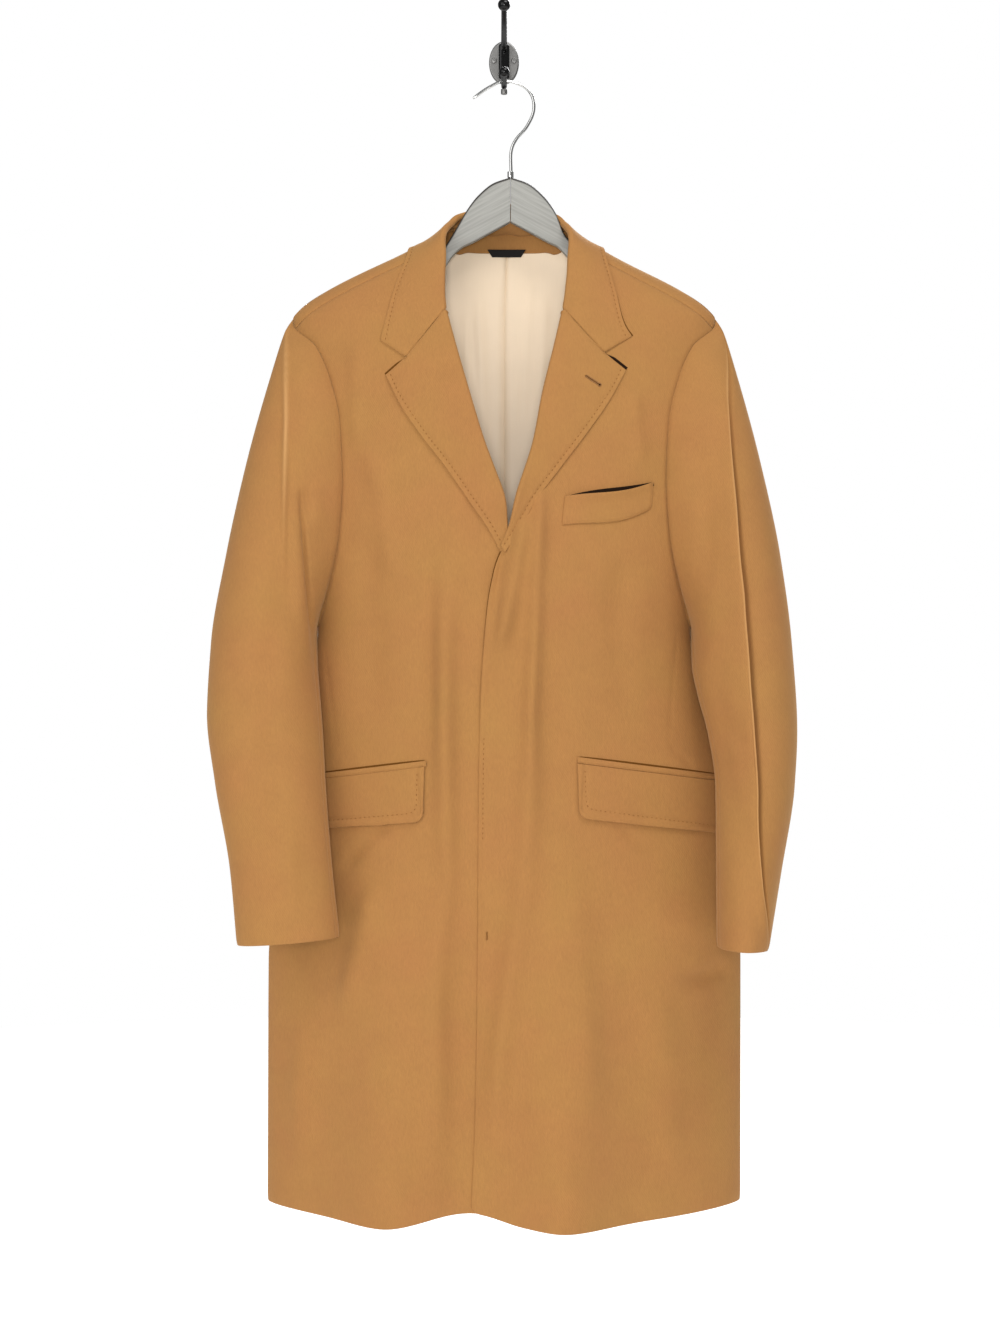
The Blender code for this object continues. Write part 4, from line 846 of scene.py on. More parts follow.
def lap_dip(x, z):
    """How far the left front is pressed back where the right front lies on it."""
    edge = FRONT_EDGE_AT["right"](z)
    return LAP_DIP * eased(edge - LAP_REACH[0], edge - LAP_REACH[1], x) * eased(LAP_TOP, LAP_FULL, z)


def fine_shares(count, border=0.02):
    """Shares from 0 to 1 that lie closer together near both ends, so that seams and edges can turn in."""
    even = np.linspace(0, 1, count + 1)
    ends = np.array(BORDER_SHARES) * border
    return np.unique(np.concatenate([even, ends, 1 - ends]))


def front_grid(side, rows=230, columns=84):
    """Outer skin of a front: across from its edge to the armhole or side seam, down from shoulder to hem."""
    last_step = ARMHOLE_STEPS + SKIRT_STEPS
    steps = SEAM_STEP + (last_step - SEAM_STEP) * fine_shares(rows, ROW_BORDER)[:, None]
    shares = fine_shares(columns)[None, :]
    upper = np.minimum(steps, ARMHOLE_STEPS)
    down = np.maximum(steps - ARMHOLE_STEPS, 0) / SKIRT_STEPS
    hem_inner = HEM_AT(SIGN[side] * FRONT_EDGE_AT[side](HEM_LEVEL))
    hem_outer = HEM_AT(SIGN[side] * BODY[side](HEM_LEVEL))
    inner_z = mix(FRONT_ROW_AT(upper), hem_inner, down)
    outer_z = mix(armhole_height(upper), hem_outer, down)
    outer_x = np.where(down > 0, BODY[side](outer_z), ARMHOLE_AT["front"](outer_z))
    first = angle_of(side, FRONT_EDGE_AT[side](inner_z), inner_z)
    last = angle_of(side, outer_x, outer_z)
    z = mix(inner_z, outer_z, shares)
    angle = mix(first, last, shares)
    straight = angle_of(side, mix(FRONT_EDGE_AT[side](inner_z), outer_x, shares), z)
    angle = mix(angle, straight, SEAM_STRAIGHT * eased(SEAM_STEP + STRAIGHT_STEPS, SEAM_STEP, steps))
    x = SIGN[side] * BODY[side](z) * np.sin(np.radians(angle))
    hem = HEM_AT(x)
    if side == "right":
        from_edge = np.clip(x - FRONT_EDGE_AT["right"](HEM_LEVEL), 0.0, HEM_CORNER)
        hem = hem + HEM_CORNER - np.sqrt(HEM_CORNER**2 - (HEM_CORNER - from_edge) ** 2)
    z = z + down * (hem - mix(hem_inner, hem_outer, shares))
    points = body_point(side, z, angle)
    if side == "left":
        points[..., 1] += lap_dip(points[..., 0], z)
    return points


def neck_over(away):
    """Where the back's neckline lies across the ridge, from the middle of the back to the shoulder seam."""
    middle = math.sqrt((ridge_z(0) - BACK_NECK) / RIDGE_STEP)
    return mix(middle, -1.0, np.minimum(away / FRONT_EDGE[0][1], 1.0) ** 3)


def back_points(side, number, share, out=0.0):
    """Points of half the back. number counts the rows from the shoulder seam over the ridge to the hem.
    share runs from -1 in the middle of the back over 0 at the neck's end to 1 at the armhole or side seam."""
    neck = FRONT_EDGE[0][1]
    hem_side = HEM_AT(SIGN[side] * BODY[side](HEM_LEVEL))
    armhole_z = armhole_height(np.clip(number - 1, 0, ARMHOLE_STEPS))
    skirt_down = np.clip((number - BACK_ARMHOLE_ROWS) / SKIRT_STEPS, 0, 1)
    outer_z = np.where(skirt_down > 0, mix(ARMHOLE_FOOT, hem_side, skirt_down), armhole_z)
    outer_x = np.where(skirt_down > 0, BODY[side](outer_z), ARMHOLE_AT["back"](outer_z))
    seam_z = armhole_height(SEAM_STEP)
    seam_x = ARMHOLE_AT["front"](seam_z)
    before = np.clip(1 - number, 0, 1)
    outer_z = mix(outer_z, seam_z, before)
    outer_x = mix(outer_x, seam_x, before)
    away = np.where(share >= 0, mix(neck, outer_x, share), neck * (1 + share))

    down = np.clip(number / RIDGE_ROWS, 0, RIDGE_PAST)
    over = mix(neck_over(away), RIDGE_END, down)
    armhole_end = ridge_z(outer_x) - RIDGE_STEP * mix(-1.0, RIDGE_END, down) ** 2
    top_z = ridge_z(away) - RIDGE_STEP * over * over
    top_z = top_z + np.maximum(share, 0.0) ** 4 * (outer_z - armhole_end)
    top_turn = angle_of(side, away, top_z)
    top_angle = np.where(over < 0, top_turn, 180 - top_turn)

    sewn = before * eased(-NECK_BLEND, NECK_BLEND, share)
    neck_z = FRONT_ROW_AT(SEAM_STEP)
    seam_share = np.maximum(share, 0.0)
    sewn_z = mix(neck_z, seam_z, seam_share)
    first = angle_of(side, FRONT_EDGE_AT[side](neck_z), neck_z)
    sewn_angle = mix(first, angle_of(side, seam_x, seam_z), seam_share)
    straight = angle_of(side, mix(FRONT_EDGE_AT[side](neck_z), seam_x, seam_share), sewn_z)
    sewn_angle = mix(sewn_angle, straight, SEAM_STRAIGHT)
    top_z = mix(top_z, sewn_z, sewn)
    top_angle = mix(top_angle, sewn_angle, sewn)

    below = np.clip((number - RIDGE_ROWS) / (BACK_LAST_ROW - RIDGE_ROWS), 0, 1)
    middle_top = ridge_z(0) - RIDGE_STEP * RIDGE_END**2
    across = away / outer_x
    blend = mix(across**2, across, eased(BACK_ARMHOLE_ROWS - 3, BACK_ARMHOLE_ROWS + 1, number))
    low_z = mix(mix(middle_top, hem_side + BACK_HEM_LIFT, below), outer_z, blend)
    low_angle = 180 - across * angle_of(side, outer_x, outer_z)

    low = eased(RIDGE_ROWS - LOW_BACK[0], RIDGE_ROWS + LOW_BACK[1], number)
    return body_point(side, mix(top_z, low_z, low), mix(top_angle, low_angle, low), out)


def back_grid(side, rows=160, neck_columns=22, columns=66):
    """Outer skin of one half of the back."""
    number = BACK_LAST_ROW * fine_shares(rows, ROW_BORDER)[:, None]
    inside = -(np.linspace(1, 0, neck_columns, endpoint=False))
    share = np.concatenate([inside, fine_shares(columns)])[None, :]
    return back_points(side, number, share)


def armhole_points(side, step, inset=0.0, out=0.0):
    """Points of the armhole's rim, with the step running from the shoulder down the front and up the back."""
    front = step <= ARMHOLE_STEPS
    rim = np.where(front, step, SLEEVE_STEPS - step)
    z = armhole_height(rim)
    ahead = on_front(side, ARMHOLE_AT["front"](z) - inset, z, out)
    behind = on_back(side, ARMHOLE_AT["back"](z) - inset, z, out)
    return np.where(front[..., None], ahead, behind)


def sleeve_crease(share, angle):
    """Pressed fold of the right sleeve: the cloth rises softly to a sharp edge, and beyond it falls back and
    tucks in under the edge. Gives both amounts."""
    beyond = CREASE_AT["angle"](share) - angle
    width = np.where(beyond < 0, CREASE_WIDTH, PRESS_WIDTH)
    ridge = np.exp(-((beyond / width) ** 2))
    trough = np.exp(-(((beyond - TROUGH_AWAY) / TROUGH_WIDTH) ** 2)) * eased(0.0, PRESS_WIDTH, beyond)
    rise = CREASE_AT["ridge"](share) * (ridge - TROUGH_SHARE * trough)
    return rise, FOLD_TUCK * trough * eased(*TUCK_STARTS, share)


def ring_shares(rings=190):
    """Shares of a sleeve's length at its rings, closer together near the armhole and the cuff."""
    return (fine_shares(rings, RING_BORDER) ** RING_CROWDING)[:, None]


def fold_steps(first, last, columns):
    """Steps of the right sleeve's columns on each ring, drawn together along its pressed fold."""
    fold = SLEEVE_STEPS * (1 + CREASE_AT["angle"](ring_shares()) / 360.0)
    share = fine_shares(columns)[None, :]
    before = fold - (fold - first) * (1 - share[:, :-1]) ** FOLD_CLOSENESS
    return np.concatenate([before, fold + (last - fold) * share**FOLD_CLOSENESS], axis=1)


def sleeve_grid(side, steps, rings=190):
    """Outer skin of the part of a sleeve between two of its long seams, from the armhole to the cuff."""
    at = SLEEVE_AT[side]
    share = ring_shares(rings)
    step = np.atleast_2d(steps) % SLEEVE_STEPS
    turn = 2 * np.pi * step / SLEEVE_STEPS

    def ellipse(place):
        x = mix(at["inner_x"](place), at["outer_x"](place), (1 + np.cos(turn)) / 2)
        z = mix(at["inner_z"](place), at["outer_z"](place), (1 + np.cos(turn)) / 2)
        depth = at["depth"](place)
        if side == "right":
            rise, tuck = sleeve_crease(place, np.degrees(turn))
            depth = depth + rise
            x = x - tuck
        y = at["middle_y"](place) - depth * np.sin(turn)
        return np.stack(np.broadcast_arrays(SIGN[side] * x, y, z), axis=-1)

    rim = armhole_points(side, step) - ellipse(np.zeros((1, 1)))
    return ellipse(share) + at["bow"](share)[..., None] * rim


def unit(vectors):
    return vectors / np.maximum(np.linalg.norm(vectors, axis=-1, keepdims=True), 1e-12)


def normals_of(grid, towards=None):
    """Normals of a grid of points, all on one side of it. On the whole they point the way of the hint."""
    down = np.gradient(grid, axis=0)
    across = np.gradient(grid, axis=1)
    normals = unit(np.cross(across, down))
    if towards is not None and np.sum(normals * towards) < 0:
        normals = -normals
    return normals


def path_lengths(points):
    """Length along a path at each of its points."""
    return np.concatenate([[0.0], np.cumsum(np.linalg.norm(np.diff(points, axis=0), axis=1))])


def polyline_relief(x, z, points, width, height):
    """Height of one crease over each point: a soft ridge or trough along a line, fading at both ends."""
    line = np.asarray(points, float)
    lengths = path_lengths(line)
    best = np.full(x.shape, 1e9)
    along = np.zeros(x.shape)
    for i in range(len(line) - 1):
        start = line[i]
        way = line[i + 1] - start
        t = np.clip(((x - start[0]) * way[0] + (z - start[1]) * way[1]) / (way @ way), 0, 1)
        far = np.hypot(x - start[0] - t * way[0], z - start[1] - t * way[1])
        nearer = far < best
        best = np.where(nearer, far, best)
        along = np.where(nearer, (lengths[i] + t * (lengths[i + 1] - lengths[i])) / lengths[-1], along)
    uneven = 1 + CREASE_UNEVEN * np.sin(CREASE_WAVES * along + CREASE_PHASE * points[0][0])
    fade = eased(0.0, CREASE_STARTS, along) * eased(1.0, CREASE_ENDS, along)
    return height * uneven * fade * np.exp(-((best / width) ** 2))


def creased(grid, normals, name, sewn=None):
    """The grid with its panel's creases pressed in. They fade towards a border that is sewn."""
    total = np.zeros(grid.shape[:2])
    x, z = grid[..., 0], grid[..., 2]
    for creases, facing in ((FRONT_CREASES, -normals[..., 1]), (BACK_CREASES, normals[..., 1])):
        for width, height, points in creases.get(name, ()):
            total += polyline_relief(x, z, points, width, height) * eased(*CREASE_FACING, facing)
    if sewn:
        total *= eased(0.0, SEWN_FADE, border_lengths(grid)[sewn])
    return grid + normals * total[..., None]


def border_lengths(grid):
    """How far each point lies along the cloth from the first row, last row, first column and last column."""
    rows = np.linalg.norm(np.diff(grid, axis=0), axis=2).cumsum(axis=0)
    rows = np.concatenate([np.zeros((1, grid.shape[1])), rows])
    columns = np.linalg.norm(np.diff(grid, axis=1), axis=2).cumsum(axis=1)
    columns = np.concatenate([np.zeros((grid.shape[0], 1)), columns], axis=1)
    return {
        "top": rows,
        "foot": rows[-1:] - rows,
        "first": columns,
        "last": columns[:, -1:] - columns,
    }


def seamed(grid, normals, borders, depth, width, fade=None):
    """The grid with its cloth turned in along the seams at the named borders, so that a groove shows there.
    It fades towards the border named last."""
    lengths = border_lengths(grid)
    if fade:
        depth = depth * mix(FADED_SHARE, 1.0, eased(0.0, FADED_LENGTH, lengths[fade]))
    for border in borders:
        grid = grid - normals * (depth * np.exp(-((lengths[border] / width) ** GROOVE_SHARP)))[..., None]
    return grid


def parted(grid, borders, gap=HALF_GAP):
    """The grid with the named borders drawn in along the cloth by half a seam gap."""
    grid = grid.copy()
    views = {
        "top": grid,
        "foot": grid[::-1],
        "first": grid.swapaxes(0, 1),
        "last": grid.swapaxes(0, 1)[::-1],
    }
    for border in borders:
        view = views[border]
        inwards = view[2] - view[0]
        view[0] += unit(inwards) * np.minimum(gap, 0.4 * np.linalg.norm(inwards, axis=-1, keepdims=True))
    return grid


def hung_neck(points):
    """Points with the neck moved to where it hangs."""
    points = np.array(points, float)
    near = eased(*NECK_HEIGHTS, points[..., 2]) * eased(*NECK_WIDTHS, np.abs(points[..., 0]))
    points[..., 0] += NECK_SHIFT * near
    return points


def turned_in(grid, normals, border, reach=1.0):
    """The grid and its normals with a narrow flange at a seam, where the cloth turns into the coat."""
    views = {"top": (grid, normals), "last": (grid.swapaxes(0, 1)[::-1], normals.swapaxes(0, 1)[::-1])}
    points, outs = views[border]
    beyond = unit(points[0] - points[2])
    flange = [points[0] + beyond * far * reach - outs[0] * deep for far, deep in FLANGE]
    points = np.concatenate([np.stack(flange), points])
    outs = np.concatenate([np.stack([outs[0], outs[0]]), outs])
    if border == "last":
        return points[::-1].swapaxes(0, 1), outs[::-1].swapaxes(0, 1)
    return points, outs


def lapel_xz(side, share, across):
    """Place of a lapel's points as seen from the front. The top row bends at the notch."""
    at = LAPEL_AT[side]
    roll = np.stack([at["roll_x"](share), at["roll_z"](share)], axis=-1)
    edge = np.stack([at["edge_x"](share), at["edge_z"](share)], axis=-1)
    notch = np.array(NOTCH[side])
    ways = across[..., None]
    straight = mix(roll, edge, ways)
    to_notch = mix(roll, notch, np.minimum(ways / GORGE_SHARE, 1.0))
    bent = mix(to_notch, edge, np.clip((ways - GORGE_SHARE) / (1 - GORGE_SHARE), 0.0, 1.0))
    return mix(bent, straight, eased(0.0, NOTCH_FADES, share)[..., None])


def lapel_out(across, bend=1.0):
    """Height of the outer skin over the coat: high at the roll, lying down towards the edge."""
    top = 2 * ROLL_RADIUS * bend + LIE_GAP
    return mix(EDGE_LIFT + FACE_CLOTH, top, (1 - across) ** 2)


def roll_bend(share):
    """How round a lapel's roll is: it flattens towards the lapel's foot."""
    return mix(1.0, ROLL_FLAT_SHARE, eased(ROLL_FLATTENS, 1.0, share))


def lapel_fall(side, share, across):
    """Outer skin of a lapel from its roll to its edge."""
    share, across = np.broadcast_arrays(share, across)
    place = lapel_xz(side, share, across)
    belly = LAPEL_BELLY * np.sin(np.pi * across) * eased(0.0, BELLY_STARTS, share)
    belly = belly * eased(1.0, BELLY_ENDS, share)
    lower = mix(1.0, LAPEL_SUNK_SHARE, eased(LAPEL_SINKS, 1.0, share))
    points = on_front(side, place[..., 0], place[..., 1], lapel_out(across, roll_bend(share)) * lower + belly)
    if side == "left":
        points[..., 1] += lap_dip(points[..., 0], points[..., 2])
    return points


def collar_fall_points(side, share, across):
    """Outer skin of half the collar from fold to edge, and from the gorge to the middle of the back."""
    share, across = np.broadcast_arrays(share, across)
    at = COLLAR_AT

    def general(place):
        away = mix(at["fold_x"](place), at["edge_x"](place), across)
        over = mix(at["fold_over"](place), at["edge_over"](place), across)
        lift = COLLAR_LIFT * 4 * across * (1 - across) + COLLAR_RIDGE_LIFT * across * np.exp(-(over**2))
        return over_shoulder(side, away, over, lapel_out(across) + lift)

    beyond = np.clip((across - GORGE_SHARE) / (1 - GORGE_SHARE), 0.0, 1.0)[..., None]
    gorge = lapel_xz(side, np.zeros(share.shape), np.minimum(across, GORGE_SHARE))
    gorge = mix(gorge, np.array(COLLAR_TIP[side]), beyond)
    seam = on_front(side, gorge[..., 0], gorge[..., 1], lapel_out(across))
    settle = ((1 - np.clip(share / COLLAR_SETTLES, 0, 1)) ** 2)[..., None]
    points = general(share) + settle * (seam - general(np.zeros(share.shape)))
    hang = eased(*FOLD_HANGS, share) * (1 - across)
    points[..., 0] -= SIGN[side] * FOLD_IN * hang * eased(1.0, FOLD_IN_ENDS, share)
    points[..., 2] -= hang * mix(FOLD_DOWN_SIDE, FOLD_DOWN_BACK, eased(*FOLD_DOWN_TURNS, share))
    return points


def rolled(fall, inwards, thick, bends):
    """Outer and inner skins of a lapel or collar: round its roll from underneath, then on to its edge.

    fall is the outer skin with rows along the roll and columns from the roll to the edge."""
    along = unit(np.gradient(fall[:, 0], axis=0))
    across = fall[:, 3] - fall[:, 0]
    normal = unit(np.cross(along, across))
    depths = np.full(len(fall), -ROLL_MIDDLE)
    middle = np.stack([np.zeros(len(fall)), depths, fall[:, 0, 2] - ROLL_MIDDLE], axis=-1)
    turned = np.sum(normal * (fall[:, 0] - middle), axis=1) < 0
    normal[turned] = -normal[turned]
    away = unit(np.cross(normal, along))
    turned = np.sum(away * inwards, axis=1) < 0
    away[turned] = -away[turned]
    skins = []
    surface = normals_of(fall, np.broadcast_to(normal[:, None], fall.shape))
    for depth in (0.0, thick):
        columns = []
        full = (ROLL_RADIUS * bends)[:, None]
        radius = full - depth
        for turn in np.radians(ROLL_ANGLES):
            out = away * np.maximum(radius, LEAST_ROLL) * math.cos(turn)
            columns.append(fall[:, 0] + out + normal * (radius * math.sin(turn) - full))
        roll = np.stack(columns, axis=1)
        skins.append(np.concatenate([roll, fall - surface * depth], axis=1))
    return skins


def linear(code):
    """Linear colour of six sRGB hex digits."""
    channels = [int(code[i : i + 2], 16) / 255 for i in (0, 2, 4)]
    return [c / 12.92 if c <= 0.04045 else ((c + 0.055) / 1.055) ** 2.4 for c in channels]


def set_inputs(tree, node, inputs):
    """Sets a node's inputs, or links them where the value is another node's socket."""
    for name, value in inputs.items():
        if isinstance(value, bpy.types.NodeSocket):
            tree.links.new(value, node.inputs[name])
        else:
            node.inputs[name].default_value = value


def add_node(tree, kind, settings=None, inputs=None):
    """Adds a node and sets its properties and inputs."""
    node = tree.nodes.new(kind)
    for name, value in (settings or {}).items():
        setattr(node, name, value)
    set_inputs(tree, node, inputs or {})
    return node


def object_place(tree):
    return add_node(tree, "ShaderNodeTexCoord").outputs["Object"]


def mapped(tree, vector, scale=(1.0, 1.0, 1.0), turn=0.0):
    """Coordinates that are scaled and then turned about Y."""
    inputs = {"Vector": vector, "Rotation": (0.0, turn, 0.0), "Scale": scale}
    return add_node(tree, "ShaderNodeMapping", inputs=inputs).outputs[0]


def noise(tree, vector, scale, detail=2.0, rough=0.5, distortion=0.0):
    inputs = {"Vector": vector, "Scale": scale, "Detail": detail}
    inputs.update({"Roughness": rough, "Distortion": distortion})
    return add_node(tree, "ShaderNodeTexNoise", inputs=inputs).outputs["Fac"]


def bands(tree, vector, axis, scale, distortion):
    settings = {"wave_type": "BANDS", "bands_direction": axis}
    inputs = {"Vector": vector, "Scale": scale, "Distortion": distortion}
    return add_node(tree, "ShaderNodeTexWave", settings, inputs).outputs["Fac"]


def blended(tree, share, first, second):
    """Colour between two others."""
    return add_node(tree, "ShaderNodeMix", {"data_type": "RGBA"}, {0: share, 6: first, 7: second}).outputs[2]


def ranged(tree, value, low, high):
    """Value from 0 to 1 spread between low and high."""
    inputs = {"Value": value, "To Min": low, "To Max": high}
    return add_node(tree, "ShaderNodeMapRange", inputs=inputs).outputs["Result"]


def weighted(tree, value, weight, other):
    """Sum of a weighted value and another."""
    inputs = {0: value, 1: weight, 2: other}
    return add_node(tree, "ShaderNodeMath", {"operation": "MULTIPLY_ADD"}, inputs).outputs[0]


def bumped(tree, height, strength, distance):
    inputs = {"Height": height, "Strength": strength, "Distance": distance}
    return add_node(tree, "ShaderNodeBump", inputs=inputs).outputs["Normal"]


def new_material(name):
    """Empty material with a Principled shader: (material, tree, shader)."""
    material = bpy.data.materials.new(name)
    material.use_nodes = True
    tree = material.node_tree
    return material, tree, tree.nodes["Principled BSDF"]


def rgba(colour, share=1.0):
    return (*[min(max(channel * share, 0.0), 1.0) for channel in colour[:3]], 1.0)


def grid_faces(rows, columns):
    """Numbers of a grid's points, and its four-sided faces."""
    index = np.arange(rows * columns).reshape(rows, columns)
    corners = [index[:-1, :-1], index[:-1, 1:], index[1:, 1:], index[1:, :-1]]
    return index, np.stack(corners, axis=-1).reshape(-1, 4)


def put_together(name, outer, inner, material):
    """Closed thin shell between two skins with the same rows and columns, its rim rounded by two rings."""
    rows, columns = outer.shape[:2]
    count = rows * columns
    index, quads = grid_faces(rows, columns)
    rim = np.concatenate([index[0], index[1:, -1], index[-1, -2::-1], index[-2:0:-1, 0]])
    within = np.clip(rim // columns, 1, rows - 2) * columns + np.clip(rim % columns, 1, columns - 2)
    flat_outer = outer.reshape(-1, 3)
    flat_inner = inner.reshape(-1, 3)
    beyond = unit(flat_outer[rim] - flat_outer[within])
    thick = np.linalg.norm(flat_outer[rim] - flat_inner[rim], axis=1, keepdims=True)
    swell = beyond * thick * RIM_ROUND
    shares = (RIM_ROUND_AT, 1 - RIM_ROUND_AT)
    rings = [mix(flat_outer[rim], flat_inner[rim], share) + swell for share in shares]
    points = np.concatenate([flat_outer, flat_inner, *rings])
    loops = [rim, 2 * count + np.arange(len(rim)), 2 * count + len(rim) + np.arange(len(rim)), count + rim]
    faces = [quads, quads[:, ::-1] + count]
    for upper, lower in zip(loops, loops[1:]):
        faces.append(np.stack([upper, lower, np.roll(lower, -1), np.roll(upper, -1)], axis=-1))
    return mesh_object(name, hung_neck(points), np.concatenate(faces).tolist(), material)


def mesh_object(name, points, faces, material):
    """Object from points and faces, smooth, with its faces turned outwards."""
    data = bpy.data.meshes.new(name)
    data.from_pydata([tuple(point) for point in points], [], faces)
    mesh = bmesh.new()
    mesh.from_mesh(data)
    bmesh.ops.recalc_face_normals(mesh, faces=mesh.faces)
    if mesh.calc_volume(signed=True) < 0:
        bmesh.ops.reverse_faces(mesh, faces=mesh.faces)
    mesh.to_mesh(data)
    mesh.free()
    data.shade_smooth()
    data.materials.append(material)
    obj = bpy.data.objects.new(name, data)
    bpy.context.scene.collection.objects.link(obj)
    return obj


def finish_piece(obj, slot, nodes=()):
    """Lets a piece ride on the coat's body and stand for its solids. Its slot is not used."""
    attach(obj, "root")
    if nodes:
        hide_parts(*nodes)
    return obj


def sewn(name, outer, inner, finish, suffix="cloth", slot="camel_wool"):
    """Cloth piece between its two skins, which stands for the solid of its name."""
    return finish_piece(put_together(f"{name}_{suffix}", outer, inner, finish), slot, [name])


def surface_of(grid):
    """Search tree of a panel's outer skin, to lay other pieces on it."""
    _, quads = grid_faces(*grid.shape[:2])
    return BVHTree.FromPolygons([tuple(point) for point in grid.reshape(-1, 3)], quads.tolist())


def laid_on(surface, x, z, out):
    """Point out from the panel's skin, as seen straight from the front, and the skin's normal there."""
    place, normal, _, _ = surface.ray_cast(Vector((x, -1.0, z)), Vector((0.0, 1.0, 0.0)))
    if place is None:
        raise RuntimeError(f"nothing to lay a piece on at {x:.4f}, {z:.4f}")
    normal = normal if normal.y < 0 else -normal
    return np.array(place + normal * out), np.array(normal)


def along_path(points, spacing, start=0.0, end=0.0):
    """Places at an even spacing along a path: share of the path's points for each."""
    lengths = path_lengths(points)
    count = max(int((lengths[-1] - start - end) / spacing), 1)
    marks = np.linspace(start, lengths[-1] - end, count + 1)
    return np.interp(marks, lengths, np.arange(len(points)))


def read_path(values, marks):
    """Values of a path's points at fractional places."""
    values = np.asarray(values, float)
    low = np.clip(marks.astype(int), 0, len(values) - 2)
    part = (marks - low)[:, None]
    return mix(values[low], values[low + 1], part)


def stitch_shape():
    """One thread stitch along X, 1 long and 1 thick, sinking at both ends: points and faces."""
    sides = 6
    points, faces = [], []
    for x, radius, lift in STITCH_RINGS:
        for k in range(sides):
            turn = 2 * math.pi * k / sides
            points.append((x, radius * math.cos(turn), radius * math.sin(turn) + lift))
    for r in range(len(STITCH_RINGS) - 1):
        for k in range(sides):
            after = (k + 1) % sides
            faces.append((r * sides + k, r * sides + after, (r + 1) * sides + after, (r + 1) * sides + k))
    faces.append(tuple(range(sides - 1, -1, -1)))
    faces.append(tuple(range(len(points) - sides, len(points))))
    return np.array(points), faces


def crosswise(run):
    """The run with its stitches turned across its line."""
    places, ways, outs = run
    return places, unit(np.cross(outs, ways)), outs


def make_stitches(name, runs, length, thick, thread):
    """One piece with a stitch at each place of the runs. A run holds places, directions and normals."""
    shape, shape_faces = stitch_shape()
    points, faces = [], []
    for places, ways, normals in runs:
        for place, way, normal in zip(places, ways, normals):
            normal = unit(normal - way * np.dot(normal, way))
            side = np.cross(normal, way)
            corner = len(points) * len(shape)
            local = shape * np.array([length, thick, thick])
            points.append(place + local[:, :1] * way + local[:, 1:2] * side + local[:, 2:] * normal)
            faces += [tuple(corner + i for i in face) for face in shape_faces]
    return finish_piece(mesh_object(name, hung_neck(np.concatenate(points)), faces, thread), "camel_wool")


def pick_stitches(name, run, sizes):
    """Piece with a run of pick stitches."""
    return make_stitches(name, [run], sizes.stitch_length, sizes.stitch_thick, finish_named("thread"))


def stitch_run(path, normals, spacing, start=0.0, end=0.0, lift=0.0):
    """Places, directions and normals of a row of stitches along a path on the cloth."""
    path = np.asarray(path, float)
    marks = along_path(path, spacing, start, end)
    ways = unit(read_path(np.gradient(path, axis=0), marks))
    outs = unit(read_path(normals, marks))
    return read_path(path, marks) + outs * lift, ways, outs


def painted_shade_strip(name, surface, line, wide, under, towards, finish):
    """Strip of painted shade on a panel along a line of x and z, with its widths past the line and under the
    piece.

    Its dark colour paints the shadow where an edge lies open, together with the turned cloth that shows
    there."""
    line = np.asarray(line, float)
    ways = unit(np.gradient(line, axis=0))
    beyond = np.stack([-ways[:, 1], ways[:, 0]], axis=-1)
    beyond[beyond @ np.array(towards) < 0] *= -1
    parts = np.linspace(0, 1, 5)
    grid = np.zeros((len(parts), len(line), 3))
    for c, (place, way, far) in enumerate(zip(line, beyond, wide)):
        for r, part in enumerate(parts):
            grid[r, c] = laid_on(surface, *(place + way * mix(far, -under, part)), STRIP_OUT)[0]
    normals = normals_of(grid, FORWARDS)
    return finish_piece(put_together(name, grid, grid - STRIP_THICK * normals, finish), "camel_wool")


def wool_cloth(colours):
    """Camel wool, woven as a twill, milled and brushed: a dense soft nap that hides most of the weave, with
    paler and darker fibres mixed in the yarn and a light bloom where the cloth turns away."""
    material, tree, shader = new_material("camel_wool_milled_twill")
    place = object_place(tree)
    # Yarn heather: fibres about 0.5 mm wide and 3 mm long, drawn 3 times as coarse so that they show
    heather = noise(tree, mapped(tree, place, (640.0, 640.0, 170.0)), 1.0, 3.0, 0.6)
    # Clouding of the brushed nap, patches 15 to 40 mm across
    cloud = noise(tree, place, 38.0, 4.0, 0.55)
    # Twill lines 0.9 mm apart, drawn 2 mm apart so that they show
    twill = bands(tree, mapped(tree, place, (1.0, 0.0, 1.0), math.radians(32.0)), "X", 1000.0 / 6.2832, 1.2)
    # Dye that took a little unevenly: olive and reddish patches 30 to 80 mm across
    dye = noise(tree, place, 15.0)
    fibre = blended(tree, heather, rgba(colours.wool, 0.86), rgba(colours.wool, 1.14))
    hue = ranged(tree, dye, 0.494, 0.509)
    shades = {"Color": fibre, "Hue": hue, "Value": ranged(tree, cloud, 0.94, 1.06)}
    body = add_node(tree, "ShaderNodeHueSaturation", inputs=shades).outputs["Color"]
    # Painted highlight along pressed folds: the colour turns paler where the sharp crease catches the light
    pressed = add_node(tree, "ShaderNodeAttribute", {"attribute_name": "pressed"}).outputs["Fac"]
    nap = weighted(tree, twill, 0.18, heather)
    surface = {
        # Pale colour of the painted highlight, mixed in along the pressed folds
        "Base Color": blended(tree, pressed, body, rgba(linear("C99B66"))),
        "Roughness": ranged(tree, heather, 0.82, 0.98),
        "Normal": bumped(tree, nap, 0.35, 0.0006),
        "Specular IOR Level": 0.2,
        "Sheen Weight": 0.22,
        "Sheen Roughness": 0.45,
        "Sheen Tint": rgba(linear("F3CFA0")),
    }
    set_inputs(tree, shader, surface)
    return material


